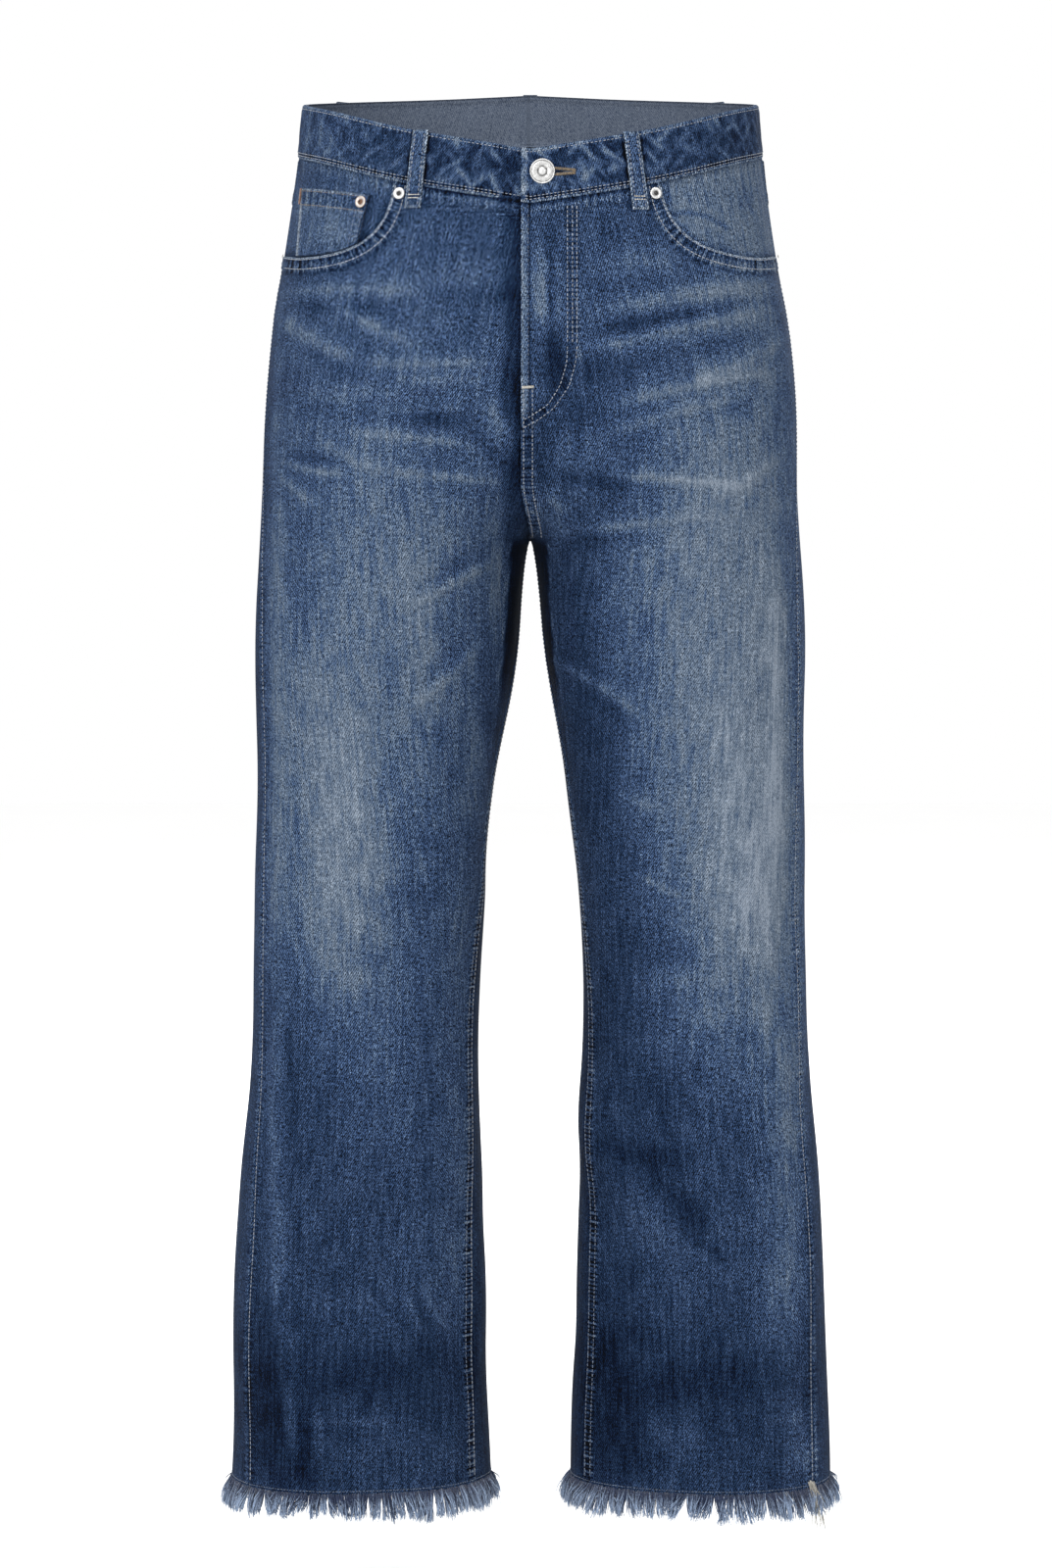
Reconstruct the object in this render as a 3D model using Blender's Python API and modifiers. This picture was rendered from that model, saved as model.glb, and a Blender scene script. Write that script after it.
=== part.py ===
"""Wide leg jeans, worn and hollow, with raw frayed hems.

Axes: +X to the wearer's left, -Y to the front, +Z up. The origin is the middle of the
waist opening, level with the top of the waistband at the side seams.

The cloth is one skin. A level section of half of it is four Bezier quarters, from the
centre front (or the inside of the leg, below the crotch) round the side to the back.
A place on the skin is (side, u, z): side is 1 for the wearer's left and -1 for the
right; u is 0 at the front centre, 0.5 at the side and 1 at the back centre, and runs
once round the leg below the crotch. Each sewn piece is a patch of that skin.
"""

import math
from functools import lru_cache

import bmesh
import bpy
import numpy as np
from mathutils import Matrix, Vector

MM = 0.001

# Driving sizes, in millimetres.
CLOTH = 1.2
SEAM_GAP = 0.5
LAYER_GAP = 0.8
BAND_HEIGHT = 40
BAND_THICKNESS = 2.6
BAND_LIFT = 0.9
CROTCH = -328
HEM = -1035
FRINGE_LENGTH = 19
FRINGE_THICKNESS = 2.0
FRONT_SHIFT = -2.3
FLY_LAP = 7
LAP_ENDS = -285
UNDERLAP = 24
FLY_WIDTH = 36
FLY_FACING_DEEPER = 0.5
FLY_STRAIGHT_ENDS = -184
FLY_ENDS = -243
POCKET_START = 97.3
POCKET_LOW = (165, -118.5)
POCKET_AT_SIDE = -114
FACING_ENDS = -134
BAND_LEVEL = -62
POCKET_LEVEL = -95
LOOP_WIDTH = 11
LOOP_THICKNESS = 2.0
LOOP_BELOW_SEAM = 15
FRONT_LOOP = 79
FRONT_LOOP_SLANT = 2
BACK_LOOP_U = 0.66
BUTTON_X = 8.6
BUTTON_UP_BAND = 0.55
BUTTONHOLE_EYE = 2.8
BUTTONHOLE_SLIT = 1.4
BUTTONHOLE_ENDS = 32
RIVET_RADIUS = 4.5
CORNER_RIVET = (3.8, -74.2)
COIN_RIVET = (124.3, -79.5)
COIN_LIFT = -0.3
FRINGE_FLARE = 1.5
YOKE_AT_SIDE = 35
YOKE_AT_BACK = 65
BACK_POCKET_WIDTH = 145
BACK_POCKET_HEIGHT = 150
BACK_POCKET_POINT = 20
BACK_POCKET_TAPER = 0.14
BACK_POCKET_BELOW_YOKE = 24
BACK_POCKET_MIDDLE = 0.755
BACK_POCKET_GAP = 1.0

# height, side x, side y, front x, front y, back x, back y: the outermost, foremost and
# rearmost points of half a level section.
SECTIONS = (
    (20, 169.0, 2, 40, -104.0, 40, 108.0),
    (-40, 174.5, 2, 46, -108.0, 48, 112.5),
    (-82, 180.5, 2, 52, -111.5, 58, 119.0),
    (-120, 186.5, 2, 58, -115.0, 68, 127.0),
    (-160, 193.3, 2, 66, -118.5, 78, 134.0),
    (-200, 197.2, 2, 76, -120.5, 88, 138.5),
    (-240, 200.0, 2, 86, -121.0, 94, 139.0),
    (-280, 201.8, 2, 95, -119.0, 99, 135.0),
    (-328, 203.6, 1, 104, -113.0, 103, 125.0),
    (-380, 205.2, 0, 112, -106.0, 106, 112.0),
    (-440, 206.5, 0, 118, -98.5, 109, 102.0),
    (-512, 206.5, 1, 124, -88.0, 113, 92.5),
    (-586, 206.5, 3, 129, -77.5, 118, 84.5),
    (-660, 208.8, 5, 133, -71.0, 122, 81.5),
    (-734, 211.4, 6, 136, -68.0, 124, 81.5),
    (-808, 217.6, 8, 139, -66.0, 126, 82.5),
    (-881, 222.4, 9, 141, -64.0, 127, 84.0),
    (-955, 225.0, 10, 143, -62.5, 128, 85.5),
    (-1060, 226.0, 11, 145, -61.0, 128, 87.0),
)

# height, x and y of the innermost point of the leg. Above the crotch the two legs run into
# each other, and this point lies past the centre plane.
INSIDE = (
    (20, -150.0, 0),
    (-120, -150.0, 4),
    (-200, -122.0, 8),
    (-240, -84.0, 10),
    (-260, -61.0, 12),
    (-280, -39.0, 13),
    (-300, -20.0, 14),
    (-316, -7.0, 14),
    (-328, 0.0, 14),
    (-334, 2.0, 14),
    (-346, 4.0, 13),
    (-364, 6.0, 12),
    (-401, 10.0, 9),
    (-438, 14.8, 7),
    (-512, 27.0, 5),
    (-586, 35.5, 6),
    (-697, 39.2, 8),
    (-808, 36.2, 10),
    (-918, 33.3, 12),
    (-1060, 29.5, 14),
)
INNER_ROUND, OUTER_ROUND, OUTER_ROUND_AT_HEM = 0.56, 0.57, 0.61
CENTRE_FILLET, FILLET_RISE = 62, 70

# height, how far forward of the side and of the innermost point the outseam and the
# inseam run, along the cloth.
SEAMS_FORWARD = (
    (20, 0, 0),
    (-114, 0, 0),
    (-190, 6, 0),
    (-240, 17, 0),
    (-328, 37, 0),
    (-400, 45, 5),
    (-570, 43, 13),
    (-730, 44, 25),
    (-880, 47, 32),
    (-1060, 49, 34),
)

# u, height of the seam below the waistband.
WAIST_SEAM = ((0.0, -82.0), (0.17, -69.0), (0.38, -47.5), (0.5, -40.0), (0.75, -29.0), (1.0, -23.0))

# side, u, height, length, width, tilt in degrees, depth: the largest folds of the legs.
FOLDS = (
    (1, 0.17, -860, 110, 30, -35, -3.5),
    (1, 0.10, -790, 90, 26, -30, 2.5),
    (1, 0.30, -590, 160, 60, 80, 2.5),
    (1, 0.78, -400, 120, 30, 15, -3.5),
    (1, 0.74, -640, 90, 24, 20, -3.0),
    (1, 0.80, -900, 110, 28, -15, -3.0),
    (-1, 0.20, -905, 100, 30, 25, -3.0),
    (-1, 0.12, -560, 110, 30, 30, 2.0),
    (-1, 0.31, -620, 170, 60, 80, 2.5),
    (-1, 0.77, -395, 120, 32, 12, -3.5),
    (-1, 0.72, -670, 90, 26, -20, -3.0),
    (-1, 0.82, -880, 100, 26, 20, -2.5),
)
LEG_ROUND = 560

# Heights of the rows of cells, the same along every long seam.
TOP_ROWS = (0.0, 0.22, 0.45, 0.7, 1.0)
TOP_ROWS_END = -190
LEG_ROWS = (
    -222, -255, -282, -302, -316, -325, CROTCH, -333, -347, -370, -410, -460, -520, -585,
    -655, -730, -805, -880, -955, HEM,
)


def smooth_table(rows):
    """A function of the first column that passes through every row, with no overshoot."""
    rows = np.array(sorted(rows), float)
    at, values = rows[:, 0], rows[:, 1:]
    steps = np.diff(at)[:, None]
    slopes = np.diff(values, axis=0) / steps
    tangents = np.zeros_like(values)
    tangents[0], tangents[-1] = slopes[0], slopes[-1]
    before, after = slopes[:-1], slopes[1:]
    same_way = before * after > 0
    heavier, lighter = 2 * steps[1:] + steps[:-1], steps[1:] + 2 * steps[:-1]
    with np.errstate(divide="ignore", invalid="ignore"):
        mean = (heavier + lighter) / (heavier / before + lighter / after)
    tangents[1:-1] = np.where(same_way, mean, 0)

    def value(x):
        x = min(max(x, at[0]), at[-1])
        k = min(int(np.searchsorted(at, x, side="right")) - 1, len(at) - 2)
        h = steps[k, 0]
        t = (x - at[k]) / h
        ends = values[k] * (1 + 2 * t) * (1 - t) ** 2 + values[k + 1] * t * t * (3 - 2 * t)
        return ends + h * t * (1 - t) * (tangents[k] * (1 - t) - tangents[k + 1] * t)

    return value


sections = smooth_table(SECTIONS)
inside = smooth_table(INSIDE)
seams_forward = smooth_table(SEAMS_FORWARD)
waist_seam_at = smooth_table(WAIST_SEAM)


def bezier(a, b, c, d, count=48):
    t = np.linspace(0, 1, count + 1)[:, None]
    a, b, c, d = (np.array(p, float) for p in (a, b, c, d))
    return a * (1 - t) ** 3 + 3 * b * t * (1 - t) ** 2 + 3 * c * t * t * (1 - t) + d * t**3


def smoothstep(t):
    t = min(max(t, 0.0), 1.0)
    return t * t * (3 - 2 * t)


def quarter(start, corner, end, roundness):
    """A curve that leaves its start and meets its end along the two sides of a corner."""
    start, corner, end = (np.array(p, float) for p in (start, corner, end))
    return bezier(start, start + roundness * (corner - start), end + roundness * (corner - end), end)


def meet_at_centre(half, z):
    """Cut a half that starts past the centre plane, and round it off level with the plane."""
    width = CENTRE_FILLET * (1 - math.exp((CROTCH - z) / FILLET_RISE))
    rising = half[: len(half) // 2 + 1]
    before, at, after = (np.interp(width * step, rising[:, 0], rising[:, 1]) for step in (0.95, 1, 1.05))
    slope = (after - before) / (0.1 * width)
    x = np.linspace(0, width, 9)[:-1]
    rounded = np.column_stack([x, at + slope * (x * x - width * width) / (2 * width)])
    return np.concatenate([rounded, half[half[:, 0] > width]])


@lru_cache(maxsize=None)
def section(z):
    """u, the points (out, y) of half a level section, and the lengths of its front and back."""
    side_x, side_y, front_x, front_y, back_x, back_y = sections(z)
    in_x, in_y = inside(z)
    outer = OUTER_ROUND + (OUTER_ROUND_AT_HEM - OUTER_ROUND) * smoothstep((CROTCH - z) / 400)
    halves = []
    for x, y in ((front_x, front_y), (back_x, back_y)):
        inner_quarter = quarter((in_x, in_y), (in_x, y), (x, y), INNER_ROUND)
        half = np.concatenate([inner_quarter, quarter((x, y), (side_x, y), (side_x, side_y), outer)[1:]])
        halves.append(meet_at_centre(half, z) if z > CROTCH else half)
    front, back = halves[0], halves[1][::-1]
    lengths = [np.concatenate([[0], np.cumsum(np.hypot(*np.diff(half, axis=0).T))]) for half in (front, back)]
    u = np.concatenate([0.5 * lengths[0] / lengths[0][-1], 0.5 + 0.5 * lengths[1][1:] / lengths[1][-1]])
    return u, np.concatenate([front, back[1:]]), (lengths[0][-1], lengths[1][-1])


def flat_skin(side, u, z):
    """The skin before its folds, which crosses the centre planes or runs on round the leg."""
    if z >= CROTCH and u < 0:
        return flat_skin(-side, -u, z)
    if z >= CROTCH and u > 1:
        return flat_skin(-side, 2 - u, z)
    u = u if z >= CROTCH else u % 1.0
    at, points, _ = section(z)
    return np.array((side * np.interp(u, at, points[:, 0]), np.interp(u, at, points[:, 1]), z))


def fold_depth(side, u, z):
    if z >= CROTCH and u < 0:
        return fold_depth(-side, -u, z)
    depth = 0.0
    for fold_side, fold_u, fold_z, length, width, tilt, deep in FOLDS:
        if fold_side != side:
            continue
        round_leg = u - fold_u if z >= CROTCH else (u - fold_u + 0.5) % 1.0 - 0.5
        across, up = round_leg * LEG_ROUND, z - fold_z
        turn = math.radians(tilt)
        along = (across * math.cos(turn) + up * math.sin(turn)) / length
        over = (up * math.cos(turn) - across * math.sin(turn)) / width
        depth += deep * math.exp(-along * along - over * over)
    return depth


def outward(side, u, z):
    """The unit vector out of the cloth, from the skin's slope on this side of the crotch."""
    step_u, step_z = 0.004, 0.5 if z >= CROTCH else -0.5
    along = flat_skin(side, u + step_u, z) - flat_skin(side, u - step_u, z)
    up = (flat_skin(side, u, z + step_z) - flat_skin(side, u, z)) / step_z
    out = np.cross(along, up) * side
    return out / np.linalg.norm(out)


def skin(side, u, z, lift=0.0):
    """A point on the skin in millimetres, moved out by lift."""
    return flat_skin(side, u, z) + outward(side, u, z) * (lift + fold_depth(side, u, z))


def u_of(x, z):
    """u on the front half where the skin is x from the centre plane."""
    at, points, _ = section(z)
    half = at <= 0.5
    return math.copysign(float(np.interp(abs(x), points[half, 0], at[half])), x)


def front_u(z, length):
    """A length along the front half of a level section, in u."""
    return 0.5 * length / section(z)[2][0]


def outseam_u(z):
    return 0.5 - front_u(z, seams_forward(z)[0])


def front_edge_u(side, z):
    """u of the front panel's inner edge: the fly's lap, then the inseam."""
    if z < CROTCH:
        return front_u(z, seams_forward(z)[1])
    return -side * front_u(z, FLY_LAP * smoothstep((z - CROTCH) / (LAP_ENDS - CROTCH)))


def waist_seam(u):
    return float(waist_seam_at(abs(u))[0])


@lru_cache(maxsize=None)
def pocket_mouth(side):
    """x and height along the scooped edge of a front pocket, from the waist to the side seam."""
    start = POCKET_START + side * FRONT_SHIFT
    scoop = bezier((start, -62), (start + 2.5, -98), (122, -118.5), POCKET_LOW, 16)
    end = (sections(POCKET_AT_SIDE)[0], POCKET_AT_SIDE)
    rise = bezier(POCKET_LOW, (173, -118.5), (180, -116.5), end, 6)
    return np.concatenate([scoop, rise[1:]])


def front_top(side, u):
    """Height of the front panel's upper edge: the waist seam, then the pocket's scoop."""
    mouth = pocket_mouth(side)
    at = [u_of(x, z) for x, z in mouth]
    scoop = float(np.interp(u, at, mouth[:, 1])) if u > at[0] else 0.0
    return min(waist_seam(u), scoop) - SEAM_GAP / 2


def yoke_seam(u):
    """Height of the seam between yoke and back panel."""
    return waist_seam(u) - YOKE_AT_SIDE - (YOKE_AT_BACK - YOKE_AT_SIDE) * (2 * u - 1)


def new_object(name, mesh, material):
    mesh.materials.append(material)
    made = bpy.data.objects.new(name, mesh)
    garment.objects.link(made)
    return made


def cloth(name, place, columns, rows, outer, material, thickness=CLOTH, ring=False):
    """A wall of cloth over a grid of places. place(column, row) gives (side, u, z, extra lift)."""
    shape = bmesh.new()
    sheets = []
    for depth in (0, thickness):
        sheet = []
        for row in rows:
            line = []
            for column in columns:
                side, u, z, more = place(column, row)
                line.append(shape.verts.new(Vector(skin(side, u, z, outer + more - depth)) * MM))
            sheet.append(line)
        sheets.append(sheet)
    wide = len(columns) if ring else len(columns) - 1
    for sheet in sheets:
        for r in range(len(rows) - 1):
            for c in range(wide):
                n = (c + 1) % len(columns)
                shape.faces.new((sheet[r][c], sheet[r][n], sheet[r + 1][n], sheet[r + 1][c]))
    out, back = sheets
    for r in (0, len(rows) - 1):
        for c in range(wide):
            n = (c + 1) % len(columns)
            shape.faces.new((out[r][c], out[r][n], back[r][n], back[r][c]))
    if not ring:
        for c in (0, len(columns) - 1):
            for r in range(len(rows) - 1):
                shape.faces.new((out[r][c], out[r + 1][c], back[r + 1][c], back[r][c]))
    bmesh.ops.recalc_face_normals(shape, faces=shape.faces)
    mesh = bpy.data.meshes.new(name)
    shape.to_mesh(mesh)
    shape.free()
    return new_object(name, mesh, material)


def turned(name, profile, side, u, z, lift, material, steps=20):
    """A turned piece whose axis stands out of the skin. The profile runs (radius, height)."""
    mesh = bpy.data.meshes.new(name)
    points = [Vector((radius * MM, 0, height * MM)) for radius, height in profile]
    mesh.from_pydata(points, [(i, i + 1) for i in range(len(points) - 1)], [])
    made = new_object(name, mesh, material)
    screw = made.modifiers.new("Turn", "SCREW")
    screw.steps = screw.render_steps = steps
    screw.use_merge_vertices = True
    screw.merge_threshold = 0.00001
    axis = Vector(outward(side, u, z))
    made.matrix_world = Matrix.Translation(Vector(skin(side, u, z, lift)) * MM) @ axis.to_track_quat(
        "Z", "Y"
    ).to_matrix().to_4x4()
    return made


def material_of(name, colour, roughness, metallic=0.0):
    made = bpy.data.materials.new(name)
    made.use_nodes = True
    shader = made.node_tree.nodes["Principled BSDF"]
    shader.inputs["Base Color"].default_value = (*colour, 1)
    shader.inputs["Roughness"].default_value = roughness
    shader.inputs["Metallic"].default_value = metallic
    return made


def make_front(side, name, material):
    mouth = pocket_mouth(side)
    edge = front_edge_u(side, POCKET_LEVEL)
    start = (u_of(*mouth[0]) - edge) / (0.5 - edge)
    steep = [start + step for step in (0.0, 0.006, 0.016, 0.035, 0.075, 0.13)]
    columns = [*np.linspace(0, start, 7)[:-1], *steep, *np.linspace(steep[-1], 1, 6)[1:]]

    def place(column, row):
        inner = edge + front_u(POCKET_LEVEL, SEAM_GAP / 2)
        u = inner + (0.5 - front_u(POCKET_LEVEL, SEAM_GAP / 2) - inner) * column
        if row >= 0:
            top = front_top(side, u)
            z = top + (TOP_ROWS_END - top) * row
        else:
            z = row
        a = front_edge_u(side, z) + front_u(z, SEAM_GAP / 2)
        b = outseam_u(z) - front_u(z, SEAM_GAP / 2)
        return side, a + (b - a) * column, z, 0.0

    return cloth(name, place, columns, [*TOP_ROWS, *LEG_ROWS], 0, material)


def back_edges(side, z):
    """u of the back panel's edges at the outseam and at the centre back or inseam."""
    gap = front_u(z, SEAM_GAP / 2)
    end = 1.0 if z >= CROTCH else 1.0 + front_edge_u(side, z)
    return outseam_u(z) + gap, end - gap


def make_back(side, name, material):
    columns = np.linspace(0, 1, 16)

    def place(column, row):
        if row >= 0:
            top = yoke_seam(0.5 + 0.5 * column) - SEAM_GAP / 2
            z = top + (TOP_ROWS_END - top) * row
        else:
            z = row
        a, b = back_edges(side, z)
        return side, a + (b - a) * column, z, 0.0

    return cloth(name, place, columns, [*TOP_ROWS, *LEG_ROWS], 0, material)


def make_yoke(side, name, material):
    def place(column, row):
        u = 0.5 + 0.5 * column
        top, low = waist_seam(u) - SEAM_GAP / 2, yoke_seam(u) + SEAM_GAP / 2
        z = top + (low - top) * row
        a, b = back_edges(side, z)
        return side, a + (b - a) * column, z, 0.0

    return cloth(name, place, np.linspace(0, 1, 16), (0, 0.5, 1), 0, material)


def band_place(along, row):
    """A place on the waistband: along is u on the left half, then 2 - u on the right half."""
    side, u = (1, along) if along <= 1 else (-1, 2 - along)
    z = waist_seam(u) + SEAM_GAP / 2 + BAND_HEIGHT * row
    under = 0.0
    if along > 1:
        under_from, under_to = 2 - u_of(34, z), 2 - u_of(FLY_LAP + 2, z)
        under = smoothstep((along - under_from) / (under_to - under_from))
    return side, u, z, -under * (BAND_THICKNESS + LAYER_GAP)


def make_waistband(material):
    first, last = -u_of(FLY_LAP, BAND_LEVEL), 2 + u_of(UNDERLAP, BAND_LEVEL)
    bend = 2 - u_of(40, BAND_LEVEL)
    columns = [*np.linspace(first, 0.5, 18)[:-1], *np.linspace(0.5, 1.5, 29)[:-1]]
    columns += [*np.linspace(1.5, bend, 13)[:-1], *np.linspace(bend, last, 9)]
    band = cloth("waistband", band_place, columns, (0, 0.5, 1), BAND_LIFT, material, BAND_THICKNESS)
    cut_buttonhole(band)
    return band


def cut_buttonhole(band):
    """A keyhole through the lapped end of the waistband, round the button's shank."""
    height = button_height()
    at = Vector(skin(1, u_of(BUTTON_X, height), height, BAND_LIFT)) * MM
    axis = Vector(outward(1, u_of(BUTTON_X, height), height))
    depth = (BAND_THICKNESS + LAYER_GAP) * MM
    eye = bmesh.new()
    radius = BUTTONHOLE_EYE * MM
    bmesh.ops.create_cone(eye, cap_ends=True, segments=16, radius1=radius, radius2=radius, depth=2 * depth)
    slit = bmesh.new()
    length = (BUTTONHOLE_ENDS - BUTTON_X) * MM
    bmesh.ops.create_cube(slit, size=1, matrix=Matrix.Diagonal((length, BUTTONHOLE_SLIT * MM, 2 * depth, 1)))
    bmesh.ops.translate(slit, verts=slit.verts, vec=(length / 2, 0, 0))
    frame = Matrix.Translation(at) @ Matrix((
        (1, 0, -axis.x, 0), (0, 0, axis.y, 0), (0, -1, axis.z, 0), (0, 0, 0, 1),
    ))
    for name, shape in (("buttonhole_eye", eye), ("buttonhole_slit", slit)):
        mesh = bpy.data.meshes.new(name)
        shape.to_mesh(mesh)
        shape.free()
        cutter = bpy.data.objects.new(name, mesh)
        cutters.objects.link(cutter)
        cutter.matrix_world = frame
        cutter.hide_render = True
        cutter.display_type = "WIRE"
        cut = band.modifiers.new(name, "BOOLEAN")
        cut.operation = "DIFFERENCE"
        cut.object = cutter


def button_height():
    return waist_seam(u_of(BUTTON_X, BAND_LEVEL)) + BAND_HEIGHT * BUTTON_UP_BAND


def make_button(material):
    height = button_height()
    foot = -BAND_THICKNESS - LAYER_GAP + 0.3
    profile = ((0, 3.4), (3.2, 3.1), (6.2, 2.4), (7.2, 2.7), (8.6, 2.5), (9.3, 1.7), (9.0, 0.9), (2.2, 0.5))
    profile += ((2.2, foot), (0, foot))
    return turned("waist_button", profile, 1, u_of(BUTTON_X, height), height, BAND_LIFT, material, 24)


def make_rivet(name, side, x, z, lift, material):
    r = RIVET_RADIUS
    profile = ((0, 2.1), (1.0, 2.0), (1.5, 1.2), (2.3, 0.9), (3.6, 1.2), (r, 0.6), (r, 0.3), (0, 0.3))
    return turned(name, profile, side, u_of(x, z), z, lift, material, 16)


def make_facing(side, name, material):
    inner = POCKET_START + side * FRONT_SHIFT - 12

    def place(column, row):
        low = u_of(inner, POCKET_LEVEL)
        u = low + (0.5 - front_u(POCKET_LEVEL, SEAM_GAP / 2) - low) * column
        top = waist_seam(u) - SEAM_GAP / 2
        return side, u, top + (FACING_ENDS - top) * row, 0.0

    return cloth(name, place, np.linspace(0, 1, 8), np.linspace(0, 1, 5), -CLOTH - LAYER_GAP, material)


def make_coin_pocket(material):
    """On the right facing: its lower edge runs to the front panel's scooped edge."""
    top_x, low_x = (118.5, 171.5), (127.5, 175.0)
    mouth = pocket_mouth(-1)

    def place(column, row):
        x = top_x[0] + (top_x[1] - top_x[0]) * column
        x_low = low_x[0] + (low_x[1] - low_x[0]) * column
        high = -74.6 + 9.1 * column
        low = float(np.interp(x_low, mouth[:, 0], mouth[:, 1])) + 1.2
        z = high + (low - high) * row
        return -1, u_of(x + (x_low - x) * row, z), z, 0.0

    columns, rows = np.linspace(0, 1, 7), np.linspace(0, 1, 5)
    return cloth("coin_pocket", place, columns, rows, COIN_LIFT, material, CLOTH - 0.1)


def make_fly_facing(material):
    """The strip behind the fly, with the curved foot that the fly's stitches follow."""

    def place(column, row):
        z = waist_seam(0) - SEAM_GAP + (FLY_ENDS - waist_seam(0)) * row
        turn = max(0.0, (FLY_STRAIGHT_ENDS - z) / (FLY_STRAIGHT_ENDS - FLY_ENDS))
        wide = -5 + (FLY_WIDTH + 5) * math.sqrt(max(0.0, 1 - turn * turn))
        x = -12 + (wide + 12) * column
        return 1, u_of(x, z), z, 0.0

    rows = [*np.linspace(0, 0.55, 4), 0.65, 0.75, 0.84, 0.91, 0.96, 0.99, 1.0]
    outer = -CLOTH - LAYER_GAP - FLY_FACING_DEEPER
    return cloth("fly_facing", place, np.linspace(0, 1, 6), rows, outer, material)


def make_back_pocket(side, name, material):
    def place(column, row):
        width = BACK_POCKET_WIDTH * (1 - BACK_POCKET_TAPER * row)
        u = BACK_POCKET_MIDDLE + (0.5 - column) * 0.5 * width / section(-170)[2][1]
        point = BACK_POCKET_POINT * (1 - abs(2 * column - 1)) * row
        z = yoke_seam(u) - BACK_POCKET_BELOW_YOKE - BACK_POCKET_HEIGHT * row - point
        return side, u, z, 0.0

    return cloth(name, place, np.linspace(0, 1, 9), np.linspace(0, 1, 7), CLOTH + BACK_POCKET_GAP, material)


def make_loop(number, side, centre_u, slant, material):
    """A belt loop over the band, from its upper edge to a tack below the waist seam."""

    def place(column, row):
        seam = waist_seam(centre_u)
        z = seam + BAND_HEIGHT - 0.6 - (BAND_HEIGHT + LOOP_BELOW_SEAM - 0.6) * row
        half_u = 0.25 * LOOP_WIDTH / section(BAND_LEVEL)[2][0 if centre_u < 0.5 else 1]
        u = centre_u + slant * row * half_u / LOOP_WIDTH * 2 + (2 * column - 1) * half_u
        return side, u, z, 0.0

    lift = BAND_LIFT + 0.4 + LOOP_THICKNESS
    name = f"belt_loop_{number}"
    return cloth(name, place, (0, 0.5, 1), (0, 0.25, 0.5, 0.75, 1), lift, material, LOOP_THICKNESS)


def make_fringe(side, name, material):
    def place(column, row):
        return side, column, HEM - SEAM_GAP - FRINGE_LENGTH * row, FRINGE_FLARE * row

    columns = np.linspace(0, 1, 33)[:-1]
    return cloth(name, place, columns, (0, 1), 0.4, material, FRINGE_THICKNESS, ring=True)


for old in list(bpy.data.objects):
    bpy.data.objects.remove(old, do_unlink=True)
garment = bpy.data.collections.new("wide_leg_jeans")
cutters = bpy.data.collections.new("cutters")
for group in (garment, cutters):
    bpy.context.scene.collection.children.link(group)

denim = material_of("denim", (0.06, 0.11, 0.21), 0.85)
frayed = material_of("frayed_denim", (0.3, 0.38, 0.5), 0.95)
silver = material_of("silver_metal", (0.72, 0.72, 0.7), 0.3, 1.0)
copper = material_of("copper_metal", (0.5, 0.36, 0.28), 0.4, 1.0)

for side, word in ((1, "left"), (-1, "right")):
    make_front(side, f"front_{word}", denim)
    make_back(side, f"back_{word}", denim)
    make_yoke(side, f"yoke_{word}", denim)
    make_facing(side, f"pocket_facing_{word}", denim)
    make_back_pocket(side, f"back_pocket_{word}", denim)
    make_fringe(side, f"fringe_{word}", frayed)
    in_from_mouth, height = CORNER_RIVET
    make_rivet(f"rivet_{word}", side, POCKET_START - in_from_mouth + side * FRONT_SHIFT, height, 0, silver)

make_waistband(denim)
make_fly_facing(denim)
make_coin_pocket(denim)
make_button(silver)
make_rivet("rivet_coin", -1, *COIN_RIVET, COIN_LIFT, copper)

front_loops = [(side, u_of(FRONT_LOOP + side * FRONT_SHIFT, BAND_LEVEL), FRONT_LOOP_SLANT) for side in (1, -1)]
back_loops = [(1, BACK_LOOP_U, 0), (-1, BACK_LOOP_U, 0), (1, 1.0, 0)]
for number, (side, centre_u, slant) in enumerate(front_loops + back_loops, 1):
    make_loop(number, side, centre_u, slant, denim)
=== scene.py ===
import math

import bpy
import numpy as np
from mathutils import Matrix, Vector


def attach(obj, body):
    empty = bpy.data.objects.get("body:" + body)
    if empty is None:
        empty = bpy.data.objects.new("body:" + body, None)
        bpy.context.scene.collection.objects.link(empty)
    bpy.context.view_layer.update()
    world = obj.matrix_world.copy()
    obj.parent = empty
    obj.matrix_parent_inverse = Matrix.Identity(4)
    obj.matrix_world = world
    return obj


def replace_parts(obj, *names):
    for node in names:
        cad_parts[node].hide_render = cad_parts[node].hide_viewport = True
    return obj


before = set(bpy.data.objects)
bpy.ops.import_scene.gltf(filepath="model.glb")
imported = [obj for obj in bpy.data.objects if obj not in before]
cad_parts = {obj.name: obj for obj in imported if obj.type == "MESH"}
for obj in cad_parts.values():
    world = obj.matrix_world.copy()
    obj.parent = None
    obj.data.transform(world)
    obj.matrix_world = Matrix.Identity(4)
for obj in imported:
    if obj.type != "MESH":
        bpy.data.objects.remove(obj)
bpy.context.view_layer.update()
print(f"{len(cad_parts)} nodes loaded")
mm = 0.001
rng = np.random.default_rng(11)

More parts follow.
